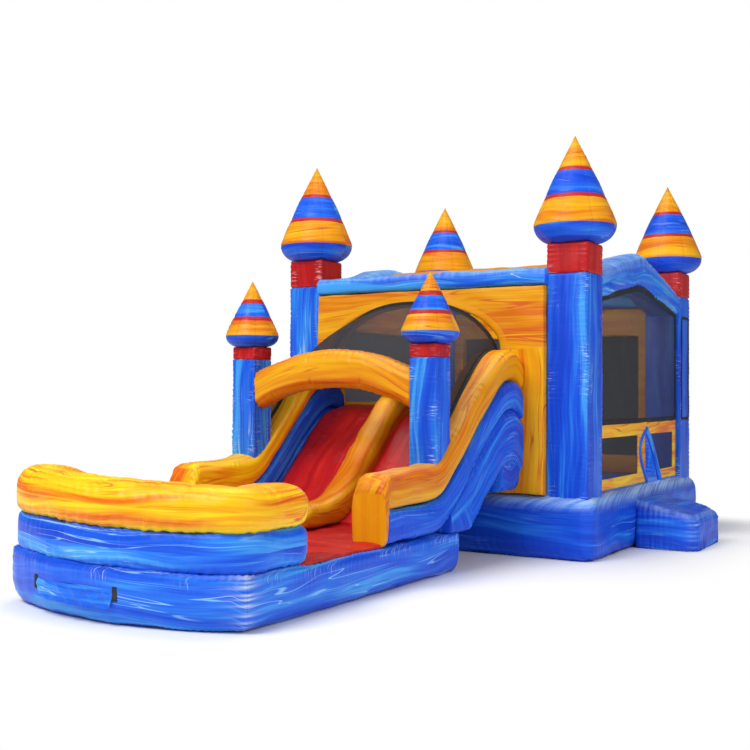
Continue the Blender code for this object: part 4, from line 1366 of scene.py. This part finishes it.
def makeBannerStrip():
    low, high = sides("banner_strip")
    half = (high[1] - low[1]) / 2
    middle = (high[1] + low[1]) / 2
    side = banner["wide"] / 2
    count = banner["points"]
    path = evenLoop(roundCorners(boxLoop(low[1:] + side, high[1:] - side), banner["corner"], 5), count)
    section = puffed(tape["count"], tape["power"])
    rings = []
    for k, (y, z) in enumerate(path):
        ahead = path[(k + 1) % count] - path[k - 1]
        ahead /= np.linalg.norm(ahead)
        out = np.array([ahead[1], -ahead[0]])
        inward = half + banner["seamAway"] - abs(y - middle)
        x = high[0] + banner["proud"] - banner["fall"] * np.exp(-inward / banner["fallReach"])
        ring = []
        for m, n in section:
            ring.append((x + n * banner["thick"] / 2, y + out[0] * m * side, z + out[1] * m * side))
        rings.append(ring)
    piece = tube("banner_strip", rings, dict(tape, seed=banner["seed"]), loop=True)
    dress(piece, blackWebbing, ["banner_strip"])


climb = {"count": 170, "rows": 70, "corner": 0.06, "crease": 0.005, "draw": 0.006, "reach": 0.06,
         "pitch": 0.08, "lumps": 0.008, "seed": 211, "steps": 4, "ledge": 0.25, "inset": 0.02,
         "caps": (0.03, 0.03), "seamRings": [1, 68]}


def makeClimb():
    low, high = sides("climb_ramp")
    count = climb["steps"]
    rise = (high[2] - low[2]) / count
    run = (high[1] - low[1] - climb["ledge"]) / count
    outline = [(low[1], low[2]), (low[1], high[2]), (low[1] + climb["ledge"], high[2])]
    for i in range(1, count):
        y = low[1] + climb["ledge"] + run * i
        outline.append((y - run / 2, high[2] - rise * i))
        outline.append((y, high[2] - rise * i))
    outline.append((high[1], low[2]))
    section = evenLoop(roundCorners(outline, climb["corner"], 6), climb["count"])
    rings = []
    for x in np.linspace(low[0] + climb["inset"], high[0] - climb["inset"], climb["rows"]):
        rings.append([(x, y, z) for y, z in section])
    piece = tube("climb_ramp", rings, climb, climb["caps"])
    dress(piece, blueVinyl, ["climb_ramp"])


inlet = {"turns": 96, "wall": 0.006, "ruffle": 0.012, "rows": 60, "slim": 0.95, "tieAt": 0.8, "tieWide": 0.05,
         "tieDraw": 0.02, "tie": (0.035, 0.006), "tieOver": 1.03}


def makeInlet():
    low, high = sides("inlet_sleeve")
    middle = (low + high) / 2
    radius = (high[0] - low[0]) / 2
    line = np.linspace(low[1], high[1], inlet["rows"])
    share = (line - low[1]) / (high[1] - low[1])
    grid = np.zeros((inlet["rows"], inlet["turns"] + 1, 3))
    turns = np.linspace(0, 2 * pi, inlet["turns"] + 1)
    for r, y in enumerate(line):
        # nine and five folds, more towards the open end, drawn in where the tie sits
        folds = np.sin(turns * 9 + 3 * share[r]) + np.sin(turns * 5 + 1)
        slack = inlet["ruffle"] * share[r] * folds / 2
        tie = inlet["tieDraw"] * np.exp(-((share[r] - inlet["tieAt"]) / inlet["tieWide"]) ** 2)
        reach = radius * inlet["slim"] + slack - tie
        grid[r, :, 0] = middle[0] + reach * np.cos(turns)
        grid[r, :, 1] = y
        grid[r, :, 2] = middle[2] + reach * np.sin(turns)
    piece, area = cloth("inlet_sleeve", grid, inlet["wall"])
    dress(piece, blueVinyl, ["inlet_sleeve"])
    ring = grid[int(inlet["tieAt"] * inlet["rows"])]
    centre = ring.mean(axis=0)
    out = ring - centre
    path = centre + out * inlet["tieOver"]
    tie = strap("inlet_tie", path, *inlet["tie"], out / np.linalg.norm(out, axis=1, keepdims=True), 41)


makeFlaps()
makeBannerStrip()
makeClimb()
makeInlet()
print("entrance, climb and inlet made")


# the slope line and what hangs from it
slide = {
    "middle": -0.15,
    "front": -4.70,
    "nose": 0.18,
    "leg": 0.06,
    "legEase": 0.02,
    "flareStart": -4.2,
    "slope": -3.67,
    "foot": 0.08,
    "flat": 1.05,
    "peak": 2.27,
    "crown": 0.12,
    "droopStart": -2.25,
    "droop": 0.14,
    "depth": 0.33,
    "tube": 0.30,
    "lower": 0.57,
    "laneDrop": 0.6197,
    "laneThick": 0.35,
    "seat": 0.4003,
    "floor": 0.4303,
}


def softStep(value, ease):
    # nothing below zero, then as much as the value, with a soft bend between
    return (value + np.sqrt(value * value + 4 * ease * ease)) / 2


def slopeLine(y):
    # level, then up at 45 degrees, then level again
    climbed = y - slide["slope"]
    rise = slide["peak"] - slide["flat"]
    return slide["flat"] + softStep(climbed, slide["foot"]) - softStep(climbed - rise, slide["crown"])


def railCrest(y, end):
    past = np.maximum(0, y - slide["droopStart"]) / (end - slide["droopStart"])
    return slopeLine(y) - slide["droop"] * past * past


def slideRun(node, rows, look, finish):
    # tube along the slide: rows give y, lower z and upper z; its width is the node's
    low, high = sides(node)
    middle = (low[0] + high[0]) / 2
    half = (high[0] - low[0]) / 2 * look.get("spread", 1.0)
    outer = 1 if middle > slide["middle"] else -1
    power = look["power"]
    nose = look.get("nose", (power, 1.0))
    rings = []
    for y, under, over in rows:
        # the section is squarer at the front end, and its outer side leans out towards the wall
        share = np.clip((y - low[1]) / nose[1], 0, 1)
        section = puffed(look["count"], nose[0] + (power - nose[0]) * share)
        lean = max(0, y - slide["flareStart"]) / (high[1] - slide["flareStart"])
        wide = look.get("flare", 0.0) * lean / 2
        ring = []
        for a, b in section:
            x = middle + a * half + (outer + a) * wide
            ring.append((x, y, (under + over) / 2 + b * (over - under) / 2))
        rings.append(ring)
    piece = tube(node, rings, look, look["caps"])
    return dress(piece, finish, [node])


rail = {"count": 60, "rows": 215, "noseRows": 26, "power": 0.52, "crease": 0.005, "draw": 0.003,
        "reach": 0.06, "pitch": 0.06, "lumps": 0.006, "seed": 221, "nose": (0.36, 0.5), "capSeam": True,
        "capPrint": 0.25, "caps": (0.008, 0.0), "ends": False, "flare": 0.12,
        "seamColumns": [8, 15, 22, 45]}
sideTube = {"count": 56, "rows": 190, "power": 0.28, "crease": 0.006, "draw": 0.005, "reach": 0.06,
            "pitch": 0.07, "lumps": 0.006, "caps": (0.02, 0.0), "ends": False, "flare": 0.12,
            "seamColumns": [7, 21, 35, 49], "seeds": {"upper": 231, "lower": 241}}
# supports reach up into the lower tube
support = dict(sideTube, rows=60, power=0.5, seed=251, rise=0.30)


def makeRail(side, k):
    low, high = sides(f"rail_{side}")
    end = high[1]
    start = slide["front"] + slide["nose"]
    turns = np.linspace(0, pi / 2, rail["noseRows"], endpoint=False)
    head = low[1] + slide["nose"] * (1 - np.cos(turns))
    legBack = slide["front"] + slide["leg"]
    rows = []
    for y in np.concatenate([head, np.linspace(start, end, rail["rows"])]):
        short = max(0, start - y)
        crest = railCrest(y, end)
        over = crest - slide["nose"] + sqrt(max(0, slide["nose"] ** 2 - short ** 2))
        back = np.clip((y - legBack) / slide["legEase"] + 0.5, 0, 1)
        under = slide["seat"] + (crest - slide["depth"] - slide["seat"]) * back
        rows.append((y, under, over))
    # painted light: the left rail takes the brighter yellow vinyl, the right one the darker gold
    litFinish = yellowVinyl if side == "left" else goldVinyl
    slideRun(f"rail_{side}", rows, dict(rail, seed=rail["seed"] + k), litFinish)
    return end


def makeRails():
    for k, side in enumerate(("left", "right")):
        end = makeRail(side, k)
        # upper tube below the rail, lower tube below that, support below both
        drop = slide["depth"]
        for level, tall in (("upper", slide["tube"]), ("lower", slide["lower"])):
            node = f"side_tube_{level}_{side}"
            rows = []
            for y in np.linspace(sides(node)[0][1], end, sideTube["rows"]):
                over = railCrest(y, end) - drop
                rows.append((y, max(over - tall, slide["seat"]), over))
            look = dict(sideTube, seed=sideTube["seeds"][level] + k)
            slideRun(node, rows, look, blueVinyl)
            drop += tall
        node = f"slide_support_{side}"
        low = sides(node)[0]
        rows = []
        for y in np.linspace(low[1], end, support["rows"]):
            rows.append((y, low[2], railCrest(y, end) - drop + support["rise"]))
        slideRun(node, rows, dict(support, seed=support["seed"] + k), blueVinyl)


lane = {"count": 56, "rows": 170, "power": 0.30, "crease": 0.003, "draw": 0.004, "reach": 0.05,
        "pitch": 0.09, "lumps": 0.007, "seed": 261, "caps": (0.0, 0.0), "seamColumns": [10, 18]}
divider = {"count": 48, "rows": 200, "power": 0.62, "crease": 0.004, "draw": 0.003, "reach": 0.05,
           "pitch": 0.06, "lumps": 0.006, "seed": 271, "caps": (0.03, 0.0), "seamColumns": [6, 18],
           "rise": 0.24, "spread": 1.16, "noseStart": 0.06, "noseLong": 0.3}


def laneRow(y):
    # underside and top of a lane
    top = slopeLine(y) - slide["laneDrop"]
    return max(top - slide["laneThick"], slide["floor"]), top


def makeLanes():
    for k, side in enumerate(("left", "right")):
        node = f"slide_lane_{side}"
        low, high = sides(node)
        rows = [(y, *laneRow(y)) for y in np.linspace(low[1], high[1], lane["rows"])]
        slideRun(node, rows, dict(lane, seed=lane["seed"] + k), redVinyl)
    low, high = sides("lane_divider")
    rows = []
    for y in np.linspace(low[1], high[1], divider["rows"]):
        under, top = laneRow(y)
        nose = min(1, (y - low[1] + divider["noseStart"]) / divider["noseLong"])
        rows.append((y, under, top + divider["rise"] * sqrt(nose)))
    slideRun("lane_divider", rows, divider, goldVinyl)


makeRails()
makeLanes()
print("rails, tubes and lanes made")


arch = {"count": 60, "rows": 150, "power": 0.58, "crease": 0.007, "draw": 0.004, "reach": 0.08,
        "pitch": 0.06, "lumps": 0.005, "seed": 281, "depth": 0.39, "seamColumns": [15, 45]}


def archLow(share):
    # underside of the arch over its half width
    low, high = sides("slide_arch")
    rise = high[2] - low[2] - arch["depth"]
    return low[2] + rise * (1 - share ** 2)


def makeArch():
    low, high = sides("slide_arch")
    middle = (low + high) / 2
    half = (high - low) / 2
    section = puffed(arch["count"], arch["power"])
    rings = []
    for share in np.linspace(-1, 1, arch["rows"]):
        x = middle[0] + share * half[0]
        centre = archLow(share) + arch["depth"] / 2
        rings.append([(x, middle[1] + a * half[1], centre + b * arch["depth"] / 2) for a, b in section])
    dress(blowUp(tube("slide_arch", rings, arch)), goldVinyl, ["slide_arch"])


canopy = {"rows": 70, "columns": 90, "round": 2.4, "full": 0.6, "sag": 0.02, "archShare": 0.75,
          "overRail": 0.004, "overDoor": 0.006, "riseSquared": 0.8, "hem": 0.045, "hemThick": 0.010,
          "frontThick": 0.008, "frontUp": (0, 0.3, 1), "hemLift": 0.004, "hemIn": 0.006, "hemPoints": 160}


def makeCanopy():
    low, high = sides("canopy_net")
    middle = (low[0] + high[0]) / 2
    half = (high[0] - low[0]) / 2
    near = archLow(0) + arch["depth"] * canopy["archShare"]
    far = doorway["peak"] + canopy["overDoor"]
    shares = np.sin(np.linspace(-pi / 2, pi / 2, canopy["columns"]))
    grid = np.zeros((canopy["rows"], canopy["columns"], 3))
    for r, y in enumerate(np.linspace(low[1], high[1], canopy["rows"])):
        along = (y - low[1]) / (high[1] - low[1])
        edge = railCrest(y, high[1]) + canopy["overRail"]
        top = near + (far - near) * along - canopy["sag"] * sin(pi * along)
        rise = np.maximum(0, 1 - np.abs(shares) ** canopy["round"]) ** canopy["full"]
        grid[r, :, 0] = middle + half * shares
        grid[r, :, 1] = y
        grid[r, :, 2] = edge + (top - edge) * rise
    piece, area = cloth("canopy_net", grid)
    dress(piece, blackNet, ["canopy_net"])
    wide = canopy["hem"]
    for k, column in enumerate((0, -1)):
        path = grid[:, column] + (0, 0, canopy["hemLift"])
        strap(f"hood_side_hem_{k + 1}", path, wide, canopy["hemThick"], (0, 0, 1), 51 + k)
    path = evenLine(grid[-1], canopy["hemPoints"]) - (0, canopy["hemIn"], 0)
    strap("hood_wall_hem", path, wide, canopy["hemThick"], (0, -1, 0), 53)
    path = evenLine(grid[0], canopy["hemPoints"]) + (0, canopy["hemIn"], 0)
    strap("hood_front_hem", path, wide, canopy["frontThick"], canopy["frontUp"], 54)


makeArch()
makeCanopy()
print("slide arch and net hood made")


# plan of the pool, a bow in front of two straight sides; its left corner is the rounder one
pool = {"radius": 2.68, "front": -6.95, "half": 1.27, "track": 0.20, "corner": 0.12, "leftCorner": 0.24,
        "left": 0.06, "open": -5.85, "ease": 0.15, "bowSteps": 61, "bowCut": (4, 7), "cornerSteps": 12,
        "sideSteps": 20, "sideGap": 0.02}
pool["centre"] = pool["front"] + pool["radius"]
slideBase = {"tuck": 0.12, "footRise": 0.20, "shoulder": 0.03, "shoulderRise": 0.05, "count": 760,
             "rows": 34, "crease": 0.006, "draw": 0.004, "reach": 0.07, "pitch": 0.06, "lumps": 0.006,
             "seed": 301, "back": -3.25, "corner": 0.05, "upperSeam": 0.93, "gleam": 0.0, "pucker": 1.0,
             "cornerGlintReach": 0.07, "cornerGlintPitch": 0.040, "rim": 0.30, "lift": (0.13, 0.055)}


def slideMiddle():
    low, high = sides("slide_base")
    return (low[0] + high[0]) / 2


def frontLift(aside):
    # how much the pool's front stands up, more on its left
    return slideBase["lift"][0] - slideBase["lift"][1] * aside


def makeSlideBase():
    low, high = sides("slide_base")
    middle = slideMiddle()

    def outline(drawn):
        half = pool["half"] - drawn
        radius = pool["radius"] - drawn
        turn = asin(half / radius)
        centre = pool["centre"]
        corners = [(half, slideBase["back"]), (-half, slideBase["back"])]
        corners.append((-half, centre - radius * cos(turn) + pool["left"]))
        for t in np.linspace(pool["left"] / radius - turn, turn, 31):
            corners.append((radius * sin(t), centre - radius * cos(t)))
        shape = evenLoop(roundCorners(corners, slideBase["corner"], 4), slideBase["count"])
        return [(middle + x, y) for x, y in shape]

    def fall(x, y):
        beyond = np.clip((pool["open"] - y) / pool["ease"], 0, 1)
        return 1 + beyond * frontLift((x - middle) / pool["half"])

    profile = sideProfile(low[2], high[2], slideBase)
    front = pool["centre"] - sqrt(pool["radius"] ** 2 - pool["half"] ** 2)
    corners = [(middle - pool["half"], front), (middle + pool["half"], front)]
    piece = cushion("slide_base", outline, profile, slideBase, poolVinyl, corners, fall)
    # level again inside the rim
    for vertex in piece.data.vertices:
        x, y, z = vertex.co
        fromBow = pool["radius"] - sqrt((x - middle) ** 2 + (y - pool["centre"]) ** 2)
        if min(pool["half"] - abs(x - middle), fromBow) > slideBase["rim"]:
            vertex.co.z = min(z, high[2])


ringLook = {"count": 64, "rowPitch": 0.022, "crease": 0.006, "draw": 0.004, "reach": 0.08, "pitch": 0.075,
            "lumps": 0.006, "sink": 0.010, "raise": 0.05, "lean": 0.025, "crest": -0.03, "tilt": 0.045,
            "droop": (0.20, 0.03), "return": 0.62, "longer": 0.07, "endSlim": 0.28, "endReach": 0.16,
            "caps": (0.07, 0.07), "seamColumns": [8, 24, 40, 56]}
# powers are the fullness below and above, a lower one is squarer
poolRings = {
    "pool_wall": {"thick": 0.40, "powers": (0.24, 0.20), "seed": 311,
                  "finish": poolVinyl, "slot": "blue_vinyl"},
    "pool_bumper": {"thick": 0.43, "powers": (0.36, 0.60), "seed": 317,
                    "finish": yellowVinyl, "slot": "yellow_vinyl"},
}


def poolTrack():
    # line round the bowed front with its two returns, both corners turned on a radius
    back = sides("pool_wall")[1][1]
    half = pool["half"] - pool["track"]
    radius = pool["radius"] - pool["track"]
    turn = asin(half / radius)
    bow = []
    for t in np.linspace(turn, -turn, pool["bowSteps"]):
        bow.append((radius * sin(t), pool["centre"] - radius * cos(t)))
    right = bow[0][1] + pool["corner"]
    left = bow[-1][1] + pool["leftCorner"]

    def turned(*marks):
        # three marks: where the corner starts, its tip and where it ends
        start, tip, end = np.array(marks)
        steps = np.linspace(0, 1, pool["cornerSteps"])
        return [tuple((1 - t) ** 2 * start + 2 * t * (1 - t) * tip + t * t * end) for t in steps]

    points = [(half, back + ringLook["longer"])]
    points += [(half, y) for y in np.linspace(back, right + pool["sideGap"], pool["sideSteps"])]
    first, last = pool["bowCut"]
    points += turned((half, right), bow[0], bow[first - 1])
    points += bow[first:-last]
    points += turned(bow[-last], bow[-1], (-half, left))
    points += [(-half, y) for y in np.linspace(left + pool["sideGap"], back, pool["sideSteps"])]
    length = np.linalg.norm(np.diff(np.array(points), axis=0), axis=1).sum()
    return evenLine(points, int(length / ringLook["rowPitch"]))


def makePoolRings():
    track = poolTrack()
    ahead = np.gradient(track, axis=0)
    ahead /= np.linalg.norm(ahead, axis=1, keepdims=True)
    out = np.stack([-ahead[:, 1], ahead[:, 0]], axis=1)
    if out[len(out) // 2][1] > 0:
        out = -out
    middle = slideMiddle()
    corner = track[0][1] - ringLook["return"]
    count = ringLook["count"]
    last = len(track) - 1
    for node, own in poolRings.items():
        low, high = sides(node)
        lower, upper = [puffed(count, power) for power in own["powers"]]
        section = np.concatenate([upper[:count // 2], lower[count // 2:]])
        rings = []
        for k, (point, way) in enumerate(zip(track, out)):
            # the ends round over within a hand's width
            close = min(k, last - k) * ringLook["rowPitch"]
            size = 1 - ringLook["endSlim"] * max(0, 1 - close / ringLook["endReach"]) ** 2
            aside = point[0] / pool["half"]
            lean = ringLook["raise"] - ringLook["lean"] * aside
            if node == "pool_wall":
                under = low[2] * (1 + frontLift(aside)) - ringLook["sink"]
                over = high[2] + lean
            else:
                back = max(0, point[1] - corner) / ringLook["return"]
                droop = ringLook["droop"][0] if aside < 0 else ringLook["droop"][1]
                under = low[2] + lean - ringLook["sink"]
                over = high[2] + ringLook["crest"] - ringLook["tilt"] * aside - droop * back ** 2
            centre = (under + over) / 2
            tall = (over - under) / 2 * size
            ring = []
            for a, b in section:
                x, y = point + way * a * own["thick"] / 2 * size
                ring.append((middle + x, y, centre + b * tall))
            rings.append(ring)
        look = dict(ringLook, seed=own["seed"])
        piece = blowUp(tube(node, rings, look, ringLook["caps"]))
        dress(piece, own["finish"], [node])


floorMat = {"cell": 0.035, "fold": 0.012, "dip": 0.008, "waves": (0.25, 0.9), "stretch": (1, 1.6, 1),
            "seed": 331, "underRail": 0.02, "underNose": 0.03, "underEnds": 0.06, "underWall": 0.04,
            "edge": 0.012, "edgeSteps": 3}


def makeLandingFloor():
    low, high = sides("landing_floor")
    middle = (low[0] + high[0]) / 2
    side = (high[0] - low[0]) / 2
    railLow = sides("rail_right")[0]
    laneHalf = railLow[0] - middle + floorMat["underRail"]
    gateBack = railLow[1] + floorMat["underNose"]
    gateFront = sides("pool_wall")[1][1] - floorMat["underEnds"]
    inner = pool["half"] - pool["track"] - floorMat["underWall"]
    centre = pool["centre"]
    hollow = pool["radius"] - pool["track"] - floorMat["underWall"]

    def ticks(start, stop, marks):
        # even steps with every mark among them
        steps = np.concatenate([np.arange(start, stop, floorMat["cell"]), [start, stop, *marks]])
        return np.unique(np.round(steps, 4))

    xs = ticks(-side, side, (-laneHalf, laneHalf, -inner, inner))
    ys = ticks(low[1], high[1], (gateBack, gateFront))

    def inside(x, y):
        if y > gateBack:
            return abs(x) < laneHalf
        if y > gateFront:
            return True
        return abs(x) < inner and x * x + (y - centre) ** 2 < hollow * hollow

    index = {}
    points = []
    faces = []

    def corner(i, j, layer):
        key = (i, j, layer)
        if key not in index:
            index[key] = len(points)
            points.append((middle + xs[i], ys[j], low[2] if layer == 0 else high[2]))
        return index[key]

    cells = set()
    for i in range(len(xs) - 1):
        for j in range(len(ys) - 1):
            if inside((xs[i] + xs[i + 1]) / 2, (ys[j] + ys[j + 1]) / 2):
                cells.add((i, j))
    for i, j in sorted(cells):
        quad = ((i, j), (i + 1, j), (i + 1, j + 1), (i, j + 1))
        faces.append([corner(a, b, 1) for a, b in quad])
        faces.append([corner(a, b, 0) for a, b in reversed(quad)])
        for (a, b), (c, d), beside in ((quad[0], quad[1], (i, j - 1)), (quad[1], quad[2], (i + 1, j)),
                                       (quad[2], quad[3], (i, j + 1)), (quad[3], quad[0], (i - 1, j))):
            if beside not in cells:
                faces.append([corner(a, b, 0), corner(c, d, 0), corner(c, d, 1), corner(a, b, 1)])
    points = np.array(points)
    top = points[:, 2] > (low[2] + high[2]) / 2
    lift = waves(points * floorMat["stretch"], floorMat["seed"], *floorMat["waves"]) * floorMat["fold"]
    points[:, 2] += np.where(top, np.maximum(lift, -floorMat["dip"]), 0)
    order = np.concatenate([np.asarray(face) for face in faces])
    seam = np.full(len(points), puff["noSeam"])
    piece = meshOf("landing_floor", points, faces, points[order][:, :2], {"seam": seam})
    facing(piece)
    soft = piece.modifiers.new("round", "BEVEL")
    soft.width = floorMat["edge"]
    soft.segments = floorMat["edgeSteps"]
    soft.limit_method = "ANGLE"
    dress(piece, redVinyl, ["landing_floor"])


# folds: pitch along the flap, slant over its height, start and share of the depth
vent = {"rows": 40, "columns": 130, "wrinkle": 0.028, "lift": 0.012, "proud": 0.003, "clear": 0.004,
        "folds": ((0.21, 0.9, 0.0, 0.6), (0.16, -1.3, 1.1, 0.4)), "flatHead": 4, "thick": 0.002,
        "slack": 1.04, "tab": (0.05, 0.006), "tabProud": 0.006, "tabRows": 16}


def makeVent():
    low, high = sides("vent_flap")
    middle = slideMiddle()
    centre = pool["centre"]
    reach = pool["radius"] + vent["proud"]
    start = asin((low[0] - middle) / reach)
    stop = asin((high[0] - middle) / reach)
    grid = np.zeros((vent["rows"], vent["columns"], 3))
    for r, share in enumerate(np.linspace(0, 1, vent["rows"])):
        z = high[2] - (high[2] - low[2]) * share
        for c, t in enumerate(np.linspace(start, stop, vent["columns"])):
            # two families of slanted folds with sharp ridges
            along = reach * (t - start)
            ripple = 1
            for pitch, slant, begin, part in vent["folds"]:
                ripple -= part * abs(sin(pi * (along / pitch + slant * share) + begin))
            loose = vent["wrinkle"] * ripple + vent["lift"] * share ** 3
            out = reach + vent["clear"] + loose * min(1, vent["flatHead"] * share)
            grid[r, c] = (middle + out * sin(t), centre - out * cos(t), z)
    piece = cloth("vent_flap", grid, vent["thick"], around=True)[0]
    dress(piece, trimVinyl, ["vent_flap"], "vent_flap_body")
    for k, side in enumerate(("left", "right")):
        low, high = sides(f"vent_tab_{side}")
        t = asin(((low[0] + high[0]) / 2 - middle) / reach)
        way = np.array((sin(t), -cos(t), 0))
        x, y = np.array((middle, centre)) + (reach + vent["tabProud"]) * way[:2]
        path = [(x, y, z) for z in np.linspace(low[2], high[2], vent["tabRows"])]
        strap(f"vent_tab_{side}", path, *vent["tab"], way, 61 + k, nodes=[f"vent_tab_{side}"])


makeSlideBase()
makePoolRings()
makeLandingFloor()
makeVent()
print("slide base, pool and vent flap made")


studio = {
    "floor": 0.90,
    "middle": (0.2, -2.4, -0.001),
    "wide": 60,
    "foot": (2.0, 4.4),
    "fade": (0.15, 1.4),
    "ambient": 0.45,
    "sheen": 0.16,
    "rough": 0.9,
}
# gloss is the share of a lamp that shows in the vinyl's mirror image
lamps = {
    "key": {"place": (-2.0, -14.0, 11.0), "aim": (0, -2.5, 1.2), "size": 7.0, "power": 1380, "gloss": 1.0},
    "side": {"place": (12.0, -6.0, 7.0), "aim": (0, -1.5, 1.5), "size": 8.0, "power": 450, "gloss": 0.25},
    "top": {"place": (-1.0, -2.0, 13.0), "aim": (0, -2.0, 0), "size": 9.0, "power": 640, "gloss": 1.0},
    "room": {"place": (0.3, -0.9, 2.75), "aim": (0, 1.2, 1.2), "size": 1.2, "power": 85, "gloss": 0.0},
    "tunnel": {"place": (-0.25, -3.0, 1.98), "aim": (-0.45, -3.6, 0.5), "size": 0.9, "power": 4,
               "gloss": 0.0},
}


def makeWorld():
    # soft grey light, its mirror image dimmer, and white where the camera looks past everything
    world = Finish("studio", bpy.data.worlds.new("studio"))
    bpy.context.scene.world = world.material
    rays = world.node("ShaderNodeLightPath").socket.node.outputs
    levels = []
    for strength in (studio["ambient"], studio["sheen"], 1.0):
        levels.append(world.node("ShaderNodeBackground", {}, {"Color": (1, 1, 1, 1), "Strength": strength}))
    mirror = Wire(world, rays["Is Glossy Ray"])
    seen = Wire(world, rays["Is Camera Ray"]).larger(Wire(world, rays["Is Transmission Ray"]))
    light = world.node("ShaderNodeMixShader", {}, {0: mirror, 1: levels[0], 2: levels[1]})
    world.show(world.node("ShaderNodeMixShader", {}, {0: seen, 1: light, 2: levels[2]}))


def makeLamps():
    for name, lamp in lamps.items():
        data = bpy.data.lights.new(name, "AREA")
        data.shape = "DISK"
        data.size = lamp["size"]
        data.energy = lamp["power"]
        data.specular_factor = lamp["gloss"]
        made = bpy.data.objects.new(name, data)
        made.location = lamp["place"]
        made.visible_camera = False
        away = Vector(lamp["place"]) - Vector(lamp["aim"])
        made.rotation_mode = "QUATERNION"
        made.rotation_quaternion = away.to_track_quat("Z", "Y")
        bpy.context.scene.collection.objects.link(made)


def makeFloor():
    # pale floor that keeps the shadow and fades to white away from it
    finish = Finish("paleFloor")
    place = finish.node("ShaderNodeTexCoord", {}, {}, "Object")
    beyond = []
    for axis, half in zip(finish.split(place), studio["foot"]):
        beyond.append((abs(axis) - half).larger(0.0))
    offset = finish.node("ShaderNodeCombineXYZ", {}, {"X": beyond[0], "Y": beyond[1]})
    away = finish.node("ShaderNodeVectorMath", {"operation": "LENGTH"}, {0: offset}, "Value")
    seen = finish.node("ShaderNodeLightPath", {}, {}, "Is Camera Ray")
    near = finish.set(Base_Color=(*[studio["floor"]] * 3, 1), Roughness=studio["rough"])
    white = finish.node("ShaderNodeEmission", {}, {"Color": (1, 1, 1, 1), "Strength": 1.0})
    share = finish.smooth(away, *studio["fade"]) * seen
    finish.show(finish.node("ShaderNodeMixShader", {}, {0: share, 1: near, 2: white}))
    wide = studio["wide"]
    corners = [(x, y, 0) for x, y in boxLoop((-wide, -wide), (wide, wide))]
    mesh = bpy.data.meshes.new("floor")
    mesh.from_pydata(corners, [], [(0, 1, 2, 3)])
    mesh.materials.append(finish.material)
    floor = bpy.data.objects.new("floor", mesh)
    floor.location = studio["middle"]
    bpy.context.scene.collection.objects.link(floor)


bpy.context.scene.view_settings.view_transform = "Standard"
makeWorld()
makeLamps()
makeFloor()
print("studio set")
